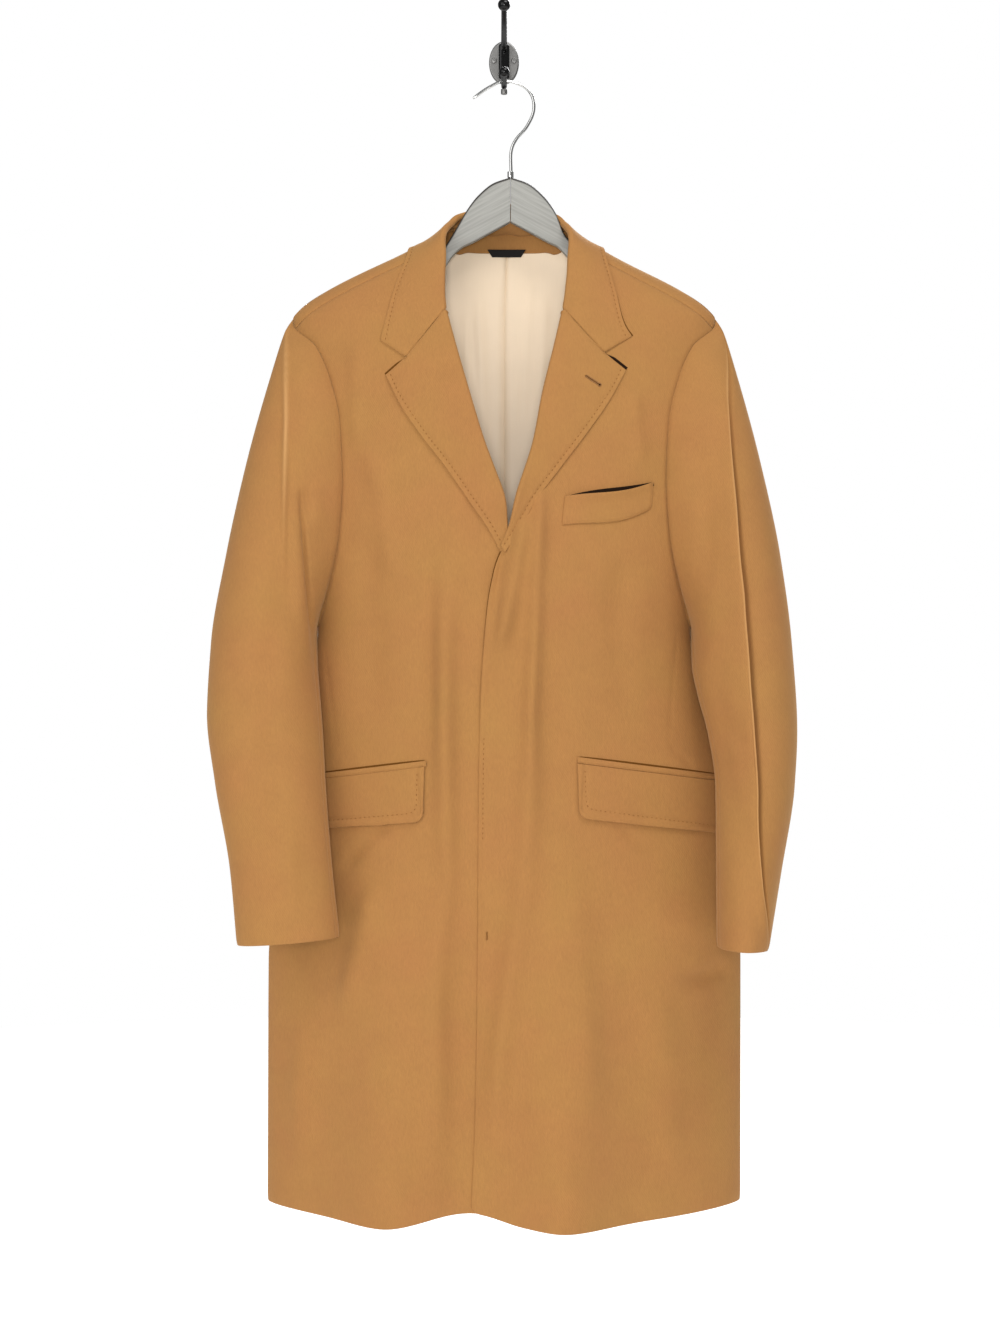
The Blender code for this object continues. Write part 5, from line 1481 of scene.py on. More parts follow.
def satin_lining(colours):
    """Viscose lining, woven as a satin: smooth and faintly shiny, with fine upright threads."""
    material, tree, shader = new_material("cream_viscose_satin")
    place = object_place(tree)
    # Warp threads 0.15 mm apart, drawn 1 mm apart so that they show
    warp = noise(tree, mapped(tree, place, (1000.0, 1000.0, 40.0)), 1.0)
    cloud = noise(tree, place, 22.0, 3.0)
    both = weighted(tree, warp, 0.4, cloud)
    surface = {
        "Base Color": blended(tree, both, rgba(colours.lining, 0.93), rgba(colours.lining, 1.05)),
        "Roughness": ranged(tree, warp, 0.38, 0.52),
        "Normal": bumped(tree, warp, 0.12, 0.0003),
        "Specular IOR Level": 0.35,
    }
    set_inputs(tree, shader, surface)
    return material


def woven_label(colours):
    """Black damask label tape: close ribs with a slightly lighter float thread."""
    material, tree, shader = new_material("black_damask_tape")
    # Ribs 0.6 mm apart, drawn 1.2 mm apart so that they show
    ribs = bands(tree, object_place(tree), "Z", 262.0, 0.4)
    surface = {
        "Base Color": blended(tree, ribs, rgba(colours.label, 0.8), rgba(colours.label, 1.6)),
        "Roughness": 0.75,
        "Normal": bumped(tree, ribs, 0.3, 0.0003),
        "Specular IOR Level": 0.2,
    }
    set_inputs(tree, shader, surface)
    return material


def sewing_thread(name, colour, rough, gloss, sheen):
    """Twisted thread or a close plain weave: soft, with a fine unevenness."""
    material, tree, shader = new_material(name)
    # Twist of the thread, turns 0.7 mm apart
    twist = noise(tree, object_place(tree), 1400.0, 1.0)
    surface = {
        "Base Color": blended(tree, twist, rgba(colour, 0.75), rgba(colour, 1.15)),
        "Roughness": rough,
        "Specular IOR Level": gloss,
        "Sheen Weight": sheen,
    }
    set_inputs(tree, shader, surface)
    return material


def washed_wood(colours):
    """Flat-sawn softwood, stained with a thin grey wash: fine grain along each arm and a darker top edge."""
    material, tree, shader = new_material("grey_washed_wood")
    halves = add_node(tree, "ShaderNodeSeparateXYZ", inputs={"Vector": object_place(tree)}).outputs
    away = add_node(tree, "ShaderNodeMath", {"operation": "SUBTRACT"}, {0: halves["X"], 1: HANGER_X})
    away = add_node(tree, "ShaderNodeMath", {"operation": "ABSOLUTE"}, {0: away.outputs[0]}).outputs[0]
    folded = add_node(tree, "ShaderNodeCombineXYZ", inputs={"X": away, "Y": halves["Y"], "Z": halves["Z"]})
    # Growth lines about 2.5 mm apart run along the arm, which falls by the shoulder's slope
    along = mapped(tree, folded.outputs[0], turn=-math.atan(RIDGE_FALL))
    grain = noise(tree, mapped(tree, along, (16.0, 90.0, 400.0)), 1.0, 4.0, distortion=0.4)
    ramp = add_node(tree, "ShaderNodeValToRGB", inputs={"Fac": grain})
    for stop, position, tone in zip(ramp.color_ramp.elements, (0.34, 0.62), (0.84, 1.05)):
        stop.position = position
        stop.color = rgba(colours.wood, tone)
    normal = add_node(tree, "ShaderNodeNewGeometry").outputs["Normal"]
    upwards = add_node(tree, "ShaderNodeSeparateXYZ", inputs={"Vector": normal}).outputs["Z"]
    top_edge = {"Value": upwards, "From Min": 0.12, "From Max": 0.34}
    rim = add_node(tree, "ShaderNodeMapRange", inputs=top_edge).outputs["Result"]
    surface = {
        "Base Color": blended(tree, rim, ramp.outputs["Color"], rgba(linear("2C2824"))),
        "Roughness": ranged(tree, grain, 0.72, 0.5),
        "Normal": bumped(tree, grain, 0.25, 0.0004),
    }
    set_inputs(tree, shader, surface)
    return material


def plated_metal(name, colour, low, high, mark_mm, metallic=1.0):
    """Metal with a plated, cast or enamelled skin: its gloss varies a little with fine handling marks."""
    material, tree, shader = new_material(name)
    marks = noise(tree, object_place(tree), 1000.0 / mark_mm, 3.0, 0.6)
    surface = {
        "Base Color": blended(tree, marks, rgba(colour, 0.88), rgba(colour, 1.08)),
        "Roughness": ranged(tree, marks, low, high),
        "Normal": bumped(tree, marks, 0.08, 0.0002),
        "Metallic": metallic,
    }
    set_inputs(tree, shader, surface)
    if not metallic:
        shader.inputs["Specular IOR Level"].default_value = 0.22
    return material


def matt_paint():
    """White emulsion on the studio's floor, which is lit from below, as a light table is, so that it meets
    the room without an edge."""
    material, tree, shader = new_material("white_matt_paint")
    # Roller marks about 25 mm across
    roller = noise(tree, object_place(tree), 40.0, 3.0)
    surface = {
        "Base Color": blended(tree, roller, rgba(linear("F6F6F5")), rgba(linear("FBFBFA"))),
        "Roughness": 0.8,
        "Emission Color": WHITE,
        "Emission Strength": 0.46,
    }
    set_inputs(tree, shader, surface)
    return material


MATERIALS = {}


def finish_named(name):
    """The named finish, made once."""
    if name not in MATERIALS:
        colours = bpy.context.scene.topcoat_colours
        makers = {
            "wool": lambda: wool_cloth(colours),
            "lining": lambda: satin_lining(colours),
            "label": lambda: woven_label(colours),
            "thread": lambda: sewing_thread("camel_silk_thread", colours.thread, 0.8, 0.1, 0.0),
            "twist": lambda: sewing_thread("camel_buttonhole_twist", linear("8A5F33"), 0.7, 0.2, 0.1),
            # Dark colours of painted shade for the strips in open edges, notches and pockets' mouths, and for
            # the buttonhole's slit and eyelet; in the breast pocket the near black also stands for the
            # pocketing inside
            "mouth": lambda: sewing_thread("near_black_painted_shade", linear("20140C"), 0.95, 0.05, 0.0),
            "ditch": lambda: sewing_thread("brown_painted_shade", linear("5E3A14"), 0.95, 0.05, 0.0),
            "wood": lambda: washed_wood(colours),
            # Polished chrome plate on drawn wire: mirror-like with faint draw marks
            "chrome": lambda: plated_metal("chrome_plated_wire", linear("C4C4C2"), 0.12, 0.20, 12.0),
            # Baked black enamel on a casting: smooth, half glossy
            "enamel": lambda: plated_metal("black_baked_enamel", colours.enamel, 0.14, 0.22, 6.0, 0.0),
            # Satin zinc casting: pale grey and softly reflecting
            "zinc": lambda: plated_metal("satin_zinc_casting", linear("787775"), 0.34, 0.5, 1.2),
        }
        MATERIALS[name] = makers[name]()
    return MATERIALS[name]


def size_property(name, description, metres):
    return bpy.props.FloatProperty(name=name, description=description, default=metres, unit="LENGTH")


def colour_property(name, description, code):
    return bpy.props.FloatVectorProperty(
        name=name, description=description, subtype="COLOR", size=3, min=0.0, max=1.0, default=linear(code)
    )


def light_property(name, description, power):
    return bpy.props.FloatProperty(name=name, description=description, default=power)


class TopcoatSizes(bpy.types.PropertyGroup):
    """Sizes of the coat, its stitching and its hanger."""

    cloth: size_property("Cloth", "Thickness of the wool panels", 0.0022)
    face_cloth: size_property("Facing cloth", "Thickness of lapels, collar and pocket pieces", FACE_CLOTH)
    lining: size_property("Lining", "Thickness of the lining and the label", 0.0010)
    stitch_step: size_property("Stitch step", "Distance between two pick stitches", 0.0052)
    stitch_length: size_property("Stitch length", "Length of one pick stitch", 0.0022)
    stitch_thick: size_property("Thread", "Thickness of the sewing thread", 0.0007)
    flap_inset: size_property("Flap inset", "Distance of the stitches from a flap's edge", 0.0080)
    stitch_inset: size_property("Stitch inset", "Distance of the pick stitches from an edge", 0.0052)
    hanger_thick: size_property("Hanger", "Thickness of the hanger's board", 0.012)
    wire: size_property("Wire", "Radius of the hanger's wire", 0.0017)


class TopcoatColours(bpy.types.PropertyGroup):
    """Colours of the cloth, the wood and the metal."""

    wool: colour_property("Wool", "Colour of the outer cloth", "996B3C")
    lining: colour_property("Lining", "Colour of the lining", "DDC8AC")
    thread: colour_property("Thread", "Colour of the pick stitches", "7E5329")
    label: colour_property("Label", "Colour of the label's tape", "100E0D")
    wood: colour_property("Wood", "Colour of the washed wood", "8F8E88")
    enamel: colour_property("Enamel", "Colour of the enamelled hook", "0B0B0B")


class TopcoatStage(bpy.types.PropertyGroup):
    """Studio round the coat."""

    floor_drop: size_property("Floor", "Height of the floor", -1.46)
    key: light_property("Key light", "Power of the large light on the left in watts", 38.0)
    fill: light_property("Front light", "Power of the light beside the camera in watts", 46.0)
    sky: light_property("Room light", "Strength of the white room", 0.27)


# Outer skins kept between the steps, so that later pieces can be laid on earlier ones
SKINS = {}


class COAT_OT_body(bpy.types.Operator):
    """Makes the two fronts and the two halves of the back"""

    bl_idname = "topcoat.body"
    bl_label = "Fronts and backs"

    def execute(self, context):
        wool = finish_named("wool")
        thick = context.scene.topcoat_sizes.cloth
        for side in SIDES:
            name = f"front_{side}"
            grid = front_grid(side)
            normals = normals_of(grid, FORWARDS)
            grid = creased(grid, normals, name, "last")
            grid = seamed(grid, normals, ("top",), *SHOULDER_GROOVE)
            grid = seamed(grid, normals, ("last",), *ARMHOLE_GROOVE, "top")
            grid = seamed(grid, normals, ("foot",), *HEM_TURN)
            grid = seamed(grid, normals, ("first",), *EDGE_TURN)
            grid = parted(grid, ("top", "last"))
            SKINS[name] = grid
            extra = [self.fly_edge(grid)] if side == "right" else []
            grid, normals = turned_in(grid, normals, "last")
            grid, normals = turned_in(grid, normals, "top")
            sewn(name, grid, grid - thick * normals, wool)
            name = f"back_{side}"
            grid = back_grid(side)
            normals = normals_of(grid, BACKWARDS)
            grid = creased(grid, normals, name, "last")
            grid = seamed(grid, normals, ("top", "first"), *PANEL_GROOVE)
            grid = seamed(grid, normals, ("last",), *PANEL_GROOVE, "top")
            grid = parted(grid, ("top", "first", "last"))
            grid, normals = turned_in(grid, normals, "last")
            grid, normals = turned_in(grid, normals, "top", 0.0)
            sewn(name, grid, grid - thick * normals, wool)
        return {"FINISHED"}

    def fly_edge(self, grid):
        """Strip of painted shade on the left front, along the upper edge of the fly, where it stands open."""
        edge = grid[:, 0, ::2]
        edge = edge[(edge[:, 1] < FLY_OPEN_TOP) & (edge[:, 1] > FLY_OPEN_FOOT)]
        wide = FLY_OPEN * np.linspace(1, OPEN_END, len(edge))
        under = surface_of(SKINS["front_left"])
        return painted_shade_strip("fly_edge", under, edge, wide, FLY_UNDER, (-1.0, 0.0), finish_named("ditch"))


class COAT_OT_sleeves(bpy.types.Operator):
    """Makes the top and under parts of both sleeves"""

    bl_idname = "topcoat.sleeves"
    bl_label = "Sleeves"

    def execute(self, context):
        wool = finish_named("wool")
        thick = context.scene.topcoat_sizes.cloth
        spans = {
            "top_sleeve": (BACK_SEAM_STEP, SLEEVE_STEPS + FRONT_SEAM_STEP, 92),
            "under_sleeve": (FRONT_SEAM_STEP, BACK_SEAM_STEP, 44),
        }
        for side in SIDES:
            whole = sleeve_grid(side, np.linspace(0, SLEEVE_STEPS, 161)[:-1])
            middles = whole.mean(axis=1, keepdims=True)
            for part, (first, last, columns) in spans.items():
                name = f"{part}_{side}"
                steps = mix(first, last, fine_shares(columns))
                if name == "top_sleeve_right":
                    steps = fold_steps(first, last, columns // 2 + 8)
                grid = sleeve_grid(side, steps)
                normals = normals_of(grid, grid - middles)
                grid = creased(grid, normals, f"sleeve_{side}", "top")
                grid = seamed(grid, normals, ("first", "last"), *PANEL_GROOVE)
                # The groove of the armhole fades over the shoulder
                from_top = np.abs((steps + SLEEVE_STEPS / 2) % SLEEVE_STEPS - SLEEVE_STEPS / 2)
                depth = mix(*CAP_DEPTHS, eased(*CAP_FADE, from_top))
                grid = seamed(grid, normals, ("top",), depth, CAP_WIDTH)
                grid = seamed(grid, normals, ("foot",), *CUFF_TURN)
                grid = parted(grid, ("top", "first", "last"))
                SKINS[name] = grid
                # The sleeve's seam allowance goes in under the edge of the fronts and backs
                around = np.atleast_2d(steps)[:1] % SLEEVE_STEPS
                grid = np.concatenate([armhole_points(side, around, *ALLOWANCE), grid])
                normals = np.concatenate([normals[:1], normals])
                piece = sewn(name, grid, grid - thick * normals, wool)
                paint_crease_highlight(piece, side, grid, steps)
        return {"FINISHED"}


def paint_crease_highlight(piece, side, grid, steps):
    """Painted highlight along a sleeve's pressed fold, as a mark that the wool's colour takes: paler where
    the crease catches the light.
    """
    if side == "left":
        line = FRONT_CREASES["sleeve_left"][0][-1]
        highlight = polyline_relief(grid[..., 0], grid[..., 2], line, LEFT_HIGHLIGHT_WIDTH, LEFT_HIGHLIGHT)
        highlight = highlight * eased(*LEFT_HIGHLIGHT_FADE, grid[..., 2]) * (steps % SLEEVE_STEPS < ARMHOLE_STEPS)
    else:
        share = ring_shares()
        beyond = CREASE_AT["angle"](share) - (np.atleast_2d(steps) % SLEEVE_STEPS) * 360.0 / SLEEVE_STEPS
        highlight = RIGHT_HIGHLIGHT * np.exp(-(((beyond + RIGHT_HIGHLIGHT_AWAY) / RIGHT_HIGHLIGHT_WIDTH) ** 2))
        highlight = highlight * eased(*RIGHT_HIGHLIGHT_FADE, share)
        highlight = np.concatenate([highlight[:1], highlight])
    # The painted highlight's mark goes into the attribute that the wool's colour reads
    values = np.zeros(len(piece.data.vertices))
    values[: highlight.size] = highlight.ravel()
    piece.data.attributes.new("pressed", "FLOAT", "POINT").data.foreach_set("value", values)


def dimpled(grid, normals, path, outs, step):
    """The grid with a small dimple under each pick stitch along a path, and the run of those stitches."""
    places, ways, stitch_outs = stitch_run(path, outs, step, step, step)
    dip = np.zeros(grid.shape[:2])
    for place in places:
        dip += np.exp(-np.sum((grid - place) ** 2, axis=-1) / DIMPLE_SIZE**2)
    grid = grid - normals * (DIMPLE_DEPTH * np.minimum(dip, 1.0))[..., None]
    return grid, (places - stitch_outs * DIMPLE_DEPTH * STITCH_SINK, ways, stitch_outs)


def picked(grid, normals, sizes):
    """The grid with pick stitches along its last column, and the run of those stitches."""
    path, outs = [], []
    for line, out, far in zip(grid, normals, border_lengths(grid)["last"]):
        path.append([np.interp(sizes.stitch_inset, far[::-1], line[::-1, k]) for k in range(3)])
        outs.append([np.interp(sizes.stitch_inset, far[::-1], out[::-1, k]) for k in range(3)])
    return dimpled(grid, normals, path, outs, sizes.stitch_step)


class COAT_OT_lapels(bpy.types.Operator):
    """Makes both lapels with their pick stitching"""

    bl_idname = "topcoat.lapels"
    bl_label = "Lapels"

    def execute(self, context):
        sizes = context.scene.topcoat_sizes
        wool = finish_named("wool")
        share = fine_shares(*LAPEL_LINES)[:, None]
        across = np.unique(np.concatenate([fine_shares(*LAPEL_ACROSS), [GORGE_SHARE]]))[None, :]
        for side in SIDES:
            name = f"lapel_{side}"
            fall = lapel_fall(side, share, across)
            normals = normals_of(fall, FORWARDS)
            fall = seamed(fall, normals, ("top",), *GORGE_GROOVE)
            fall, run = picked(fall, normals, sizes)
            inwards = np.array([-SIGN[side], 0.0, 0.0])
            skins = rolled(fall, inwards, sizes.face_cloth, roll_bend(share[:, 0]))
            outer, inner = (parted(skin, ("top",), GORGE_GAP) for skin in skins)
            SKINS[name] = outer
            piece = sewn(name, outer, inner, wool)
            stitches = pick_stitches(f"{name}_stitches", run, sizes)
            # Strip of painted shade on the front under the lapel's top edge, beyond the notch, where the
            # lapel stands off
            beyond = len(ROLL_ANGLES) + int(np.searchsorted(across[0], GORGE_SHARE))
            notch = outer[0, beyond:, [0, 2]].T
            wide = NOTCH_OPEN[side] * eased(0.0, NOTCH_WIDENS, np.linspace(0, 1, len(notch)))
            shade_finish = finish_named(NOTCH_FINISH[side])
            under = surface_of(SKINS[f"front_{side}"])
            strip = painted_shade_strip(f"{name}_notch", under, notch, wide, EDGE_UNDER, (0.0, 1.0), shade_finish)
        return {"FINISHED"}


class COAT_OT_collar(bpy.types.Operator):
    """Makes the collar's fall with its pick stitching and the collar's stand"""

    bl_idname = "topcoat.collar"
    bl_label = "Collar"

    def execute(self, context):
        sizes = context.scene.topcoat_sizes
        wool = finish_named("wool")
        across = np.unique(np.concatenate([fine_shares(*COLLAR_ACROSS), [GORGE_SHARE]]))[None, :]
        share = COLLAR_LINES[:, None]
        left, right = (collar_fall_points(side, share, across) for side in SIDES)
        fall = np.concatenate([left, right[-2::-1]])
        normals = normals_of(fall, fall - np.array(COLLAR_MIDDLE))
        fall = seamed(fall, normals, ("top", "foot"), *GORGE_GROOVE)
        fall, run = picked(fall, normals, sizes)
        inwards = unit(fall[:, 0] - fall[:, 6])
        inwards[:GORGE_LINES] = np.array([1.0, 0.0, 0.0])
        inwards[-GORGE_LINES:] = np.array([-1.0, 0.0, 0.0])
        skins = rolled(fall, inwards, sizes.face_cloth, np.ones(len(fall)))
        outer, inner = (parted(skin, ("top", "foot"), COLLAR_GAP) for skin in skins)
        SKINS["collar_fall"] = outer
        piece = sewn("collar_fall", outer, inner, wool)
        stitches = pick_stitches("collar_stitches", run, sizes)
        # Strip of painted shade on the right front under the collar's right edge, where it stands off the
        # shoulder
        edge = outer[::-1, -1][:, [0, 2]]
        edge = edge[: int(np.argmax(edge[:, 1] > COLLAR_OPEN_TOP))]
        wide = COLLAR_OPEN * np.linspace(1, OPEN_END, len(edge))
        under = surface_of(SKINS["front_right"])
        shade_finish = finish_named("ditch")
        strip = painted_shade_strip("collar_edge_right", under, edge, wide, EDGE_UNDER, (1.0, 0.0), shade_finish)

        shares = np.concatenate([share[:, 0], share[-2::-1, 0]])
        halves = ["left"] * len(left) + ["right"] * (len(right) - 1)
        self.make_stand(zip(outer, shares, halves), sizes, wool)
        return {"FINISHED"}

    def make_stand(self, rows, sizes, wool):
        """Stand of the collar, from the roll of its fall down to the neckline of the back."""
        tops, feet = [], []
        fold = COLLAR_AT["fold_x"]
        foot_out = -(sizes.cloth + LIE_GAP + sizes.lining)
        for row, share, side in rows:
            if share >= COLLAR_NECK_SHARE:
                neck = FRONT_EDGE[0][1] * fold(share) / fold(COLLAR_NECK_SHARE)
                tops.append(row[STAND_COLUMN])
                feet.append(over_shoulder(side, neck, neck_over(neck), foot_out))
        down = fine_shares(18)[None, :, None]
        grid = mix(np.array(tops)[:, None], np.array(feet)[:, None], down)
        normals = normals_of(grid, np.array(STAND_MIDDLE) - grid)
        grid = grid - normals * (STAND_HOLLOW * np.sin(np.pi * down[..., 0]))[..., None]
        grid = parted(grid, ("last",), STAND_GAP)
        sewn("collar_stand", grid, grid - sizes.face_cloth * normals, wool)


class COAT_OT_neck(bpy.types.Operator):
    """Makes the back-neck facing, the two halves of the back lining and the plain label"""

    bl_idname = "topcoat.neck"
    bl_label = "Lining, facing and label"

    def execute(self, context):
        sizes = context.scene.topcoat_sizes
        first_out = -(sizes.cloth + LIE_GAP)
        outs = (first_out, first_out - sizes.lining)

        number = np.linspace(0, FACING_ROW, 26)[:, None]
        share = np.linspace(-1, FACING_END, 40)[None, :]
        skins = []
        for out in outs:
            left = back_points("left", number, share, out)[:, ::-1]
            right = back_points("right", number, share, out)[:, 1:]
            skins.append(parted(np.concatenate([left, right], axis=1), ("foot",), FACING_GAP))
        sewn("back_neck_facing", *skins, finish_named("wool"))

        satin = finish_named("lining")
        number = mix(FACING_ROW, BACK_LAST_ROW - 1, fine_shares(*LINING_LINES))[:, None]
        share = np.concatenate([np.linspace(-1, 0, 24)[:-1], np.linspace(0, LINING_END, 50)])[None, :]
        for side in SIDES:
            skins = []
            for out in outs:
                grid = back_points(side, number, share, out - LINING_EASE)
                inner_side = normals_of(grid, FORWARDS)
                grid = creased(grid, -inner_side, f"back_{side}")
                grid = creased(grid, -inner_side, "lining")
                grid = seamed(grid, inner_side, ("first",), *LINING_GROOVE)
                skins.append(parted(grid, ("first",)))
            name = f"lining_{side}"
            sewn(name, *skins, satin, "satin", "cream_lining")

        label_out = first_out - LINING_EASE - LIE_GAP - sizes.lining
        skins = []
        down = np.linspace(0, 1, 14)[:, None]
        along = np.linspace(-1, 1, 44)[None, :]
        x = LABEL_MIDDLE + mix(LABEL_TOP_HALF, LABEL_FOOT_HALF, down) * along
        z = mix(LABEL_TOP, LABEL_FOOT, down) + 0.0 * along
        for out in (label_out, label_out - sizes.lining):
            left = on_back("left", np.maximum(-x, 0.0), z, out)
            right = on_back("right", np.maximum(x, 0.0), z, out)
            skins.append(np.where((x < 0)[..., None], left, right))
        sewn("neck_label", *skins, finish_named("label"), "tape", "black_label")
        return {"FINISHED"}


def sag_of(name, share, down):
    """How far a pocket piece sags at a place across and down it. Only the breast welt does."""
    if name != "breast_welt":
        return 0.0
    return mix(*WELT_SAG, down) * np.sin(np.pi * share**WELT_SAG_LEAN)


def patch_grid(name, out, lift):
    """Outer skin of a pocket piece laid on its front, its lower inner corner rounded."""
    side, corners = POCKETS[name]
    inner_top, outer_top, outer_foot, inner_foot = (np.array(corner) for corner in corners)
    surface = surface_of(SKINS[f"front_{side}"])
    rounded = FLAP_ROUND if name.startswith("flap") else 0.0
    wide = np.linalg.norm(outer_top - inner_top)
    shares = fine_shares(*PATCH_ACROSS)
    downs = fine_shares(*PATCH_LINES)
    grid = np.zeros((len(downs), len(shares), 3))
    for c, share in enumerate(shares):
        top = mix(inner_top, outer_top, share)
        foot = mix(inner_foot, outer_foot, share)
        if rounded:
            near = max(rounded - share * wide, 0.0)
            foot = foot + np.array([0.0, rounded - math.sqrt(rounded**2 - near**2)])
        for r, down in enumerate(downs):
            away, z = mix(top, foot, down)
            z = z - sag_of(name, share, down)
            grid[r, c] = laid_on(surface, SIGN[side] * away, z, out + lift * down**2)[0]
    return grid


def path_on(surface, points, steps, out):
    """Points and normals along straight stretches of a path laid on a panel."""
    points = np.asarray(points, float)
    lengths = path_lengths(points)
    marks = np.linspace(0, lengths[-1], steps)
    across, heights = (np.interp(marks, lengths, points[:, k]) for k in range(2))
    found = [laid_on(surface, x, z, out) for x, z in zip(across, heights)]
    return np.array([place for place, _ in found]), np.array([normal for _, normal in found])


def flap_line(name, inset):
    """Line of the stitches on a flap, as x and z: down its inner edge, round its corner, along its foot."""
    side, corners = POCKETS[name]
    inner_top, _, outer_foot, inner_foot = (np.array(corner) for corner in corners)
    line = [inner_top + np.array([inset, -FLAP_LINE_TOP])]
    middle = inner_foot + inset + FLAP_ROUND
    for turn in np.radians(np.linspace(180, 270, 7)):
        line.append(middle + FLAP_ROUND * np.array([math.cos(turn), math.sin(turn)]))
    line.append(outer_foot + np.array([-FLAP_LINE_END, inset]))
    return [(SIGN[side] * x, z) for x, z in line]


def swelled(grid, normals, inset):
    """The grid of a flap with its edge puffed up outside the line of its stitches."""
    lengths = border_lengths(grid)
    far = np.minimum(lengths["first"], lengths["foot"])
    puff = FLAP_PUFF * np.exp(-(((far - PUFF_AT * inset) / (PUFF_WIDE * inset)) ** 2))
    ditch = FLAP_DITCH * np.exp(-(((far - inset) / FLAP_DITCH_WIDE) ** 2))
    return grid + normals * (puff - ditch)[..., None]


class COAT_OT_pockets(bpy.types.Operator):
    """Makes the breast welt and the hip flaps with their jets, each with a strip of painted shade in its
    mouth
    """

    bl_idname = "topcoat.pockets"
    bl_label = "Pockets"

    def execute(self, context):
        sizes = context.scene.topcoat_sizes
        wool = finish_named("wool")
        for name in POCKETS:
            flap = name.startswith("flap")
            grid = patch_grid(name, PATCH_GAP + sizes.face_cloth, FLAP_LIFT if flap else 0.0)
            normals = normals_of(grid, FORWARDS)
            if flap:
                grid = swelled(grid, normals, sizes.flap_inset)
                path, outs = path_on(surface_of(grid), flap_line(name, sizes.flap_inset), 160, 0.0)
                grid, run = dimpled(grid, normals, path, outs, sizes.stitch_step)
                extra = pick_stitches(f"{name}_stitches", run, sizes)
            elif name == "breast_welt":
                far = border_lengths(grid)["top"]
                along = np.linspace(0, 1, grid.shape[1])
                gape = WELT_GAPE * np.exp(-((far / WELT_GAPE_DEEP) ** 2)) * np.sin(np.pi * along)
                grid = grid + normals * gape[..., None]
                grid = seamed(grid, normals, ("first", "last", "foot"), *WELT_GROOVE)
                extra = self.mouth(name, MOUTH_OPEN, MOUTH_BLUNT, "mouth")
            else:
                grid = seamed(grid, normals, ("top", "foot"), *JET_GROOVE)
                extra = self.mouth(name, JET_OPEN, JET_BLUNT, "ditch")
            sewn(name, grid, grid - sizes.face_cloth * normals, wool)
        return {"FINISHED"}

    def mouth(self, name, wide, blunt, finish):
        """Strip of painted shade above a welt or a jet, where the pocket stands a little open; above the
        breast welt it also stands for the dark pocketing inside.
        """
        side, corners = POCKETS[name]
        shares = np.linspace(0.0, 1.0, 50)[:, None]
        line = mix(np.array(corners[0]), np.array(corners[1]), shares) * np.array([SIGN[side], 1.0])
        line[:, 1] -= sag_of(name, shares[:, 0], 0.0)
        open_by = MOUTH_LEAST + wide * np.sin(np.pi * shares[:, 0] ** MOUTH_LEAN) ** blunt
        under = surface_of(SKINS[f"front_{side}"])
        dark = finish_named(finish)
        return painted_shade_strip(f"{name}_mouth", under, line, open_by, MOUTH_UNDER, (0.0, 1.0), dark)


class COAT_OT_stitching(bpy.types.Operator):
    """Sews the front edge, the lapel's buttonhole and the bar tack of the fly"""

    bl_idname = "topcoat.stitching"
    bl_label = "Stitching"

    def execute(self, context):
        sizes = context.scene.topcoat_sizes
        front = surface_of(SKINS["front_right"])
        heights = np.linspace(EDGE_STITCH_TOP, EDGE_STITCH_FOOT, 60)
        line = [(FRONT_EDGE_AT["right"](z) + EDGE_STITCH_IN, z) for z in heights]
        run = stitch_run(*path_on(front, line, 200, STITCH_OUT), sizes.stitch_step)
        pick_stitches("front_edge_stitches", run, sizes)

        x, z = BAR_TACK
        runs = []
        for part in (-BAR_TACK_ROW, 0.0, BAR_TACK_ROW):
            line = ((x + part, z), (x + part, z - BAR_TACK_LONG))
            path = path_on(front, line, 12, BAR_TACK_OUT)
            runs.append(crosswise(stitch_run(*path, BAR_TACK_LONG / BAR_TACK_TURNS)))
        make_stitches("fly_bar_tack", runs, *BAR_TACK_STITCH, finish_named("thread"))

        lapel = surface_of(SKINS["lapel_right"])
        start, end = (np.array(place) for place in BUTTONHOLE)
        way = unit(end - start)
        side = np.array([-way[1], way[0]])
        half = side * BUTTONHOLE_HALF
        throat = end - way * EYELET_THROAT
        outline = [start + half, throat + half]
        for turn in np.radians(np.linspace(120, -120, 9)):
            outline.append(end + EYELET_RADIUS * (way * math.cos(turn) + side * math.sin(turn)))
        outline += [throat - half, start - half]
        run = crosswise(stitch_run(*path_on(lapel, outline, 120, STITCH_OUT), BUTTONHOLE_STEP))
        make_stitches("lapel_buttonhole", [run], *BUTTONHOLE_STITCH, finish_named("twist"))
        # The slit and the eyelet's hole are dark stitches of painted shade, standing for the shade inside the
        # cut
        run = stitch_run(*path_on(lapel, (start, end), 12, 2 * STITCH_OUT), SLIT_STEP)
        make_stitches("lapel_buttonhole_slit", [run], *SLIT_STITCH, finish_named("ditch"))
        last = tuple(values[-1:] for values in run)
        make_stitches("lapel_buttonhole_eyelet", [last], *EYELET_STITCH, finish_named("mouth"))
        return {"FINISHED"}


def deselect_all():
    if bpy.context.object and bpy.context.object.mode != "OBJECT":
        bpy.ops.object.mode_set(mode="OBJECT")
    bpy.ops.object.select_all(action="DESELECT")


def only_active(obj):
    deselect_all()
    obj.select_set(True)
    bpy.context.view_layer.objects.active = obj
    return obj


def settled(obj, name, material, angle=SMOOTH_ANGLE):
    """Applies an object's place to its mesh, shades it smooth up to an angle and gives it its finish."""
    only_active(obj)
    bpy.ops.object.transform_apply(location=True, rotation=True, scale=True)
    bpy.ops.object.shade_smooth_by_angle(angle=math.radians(angle))
    obj.name = name
    obj.data.name = name
    obj.data.materials.clear()
    obj.data.materials.append(material)
    return obj


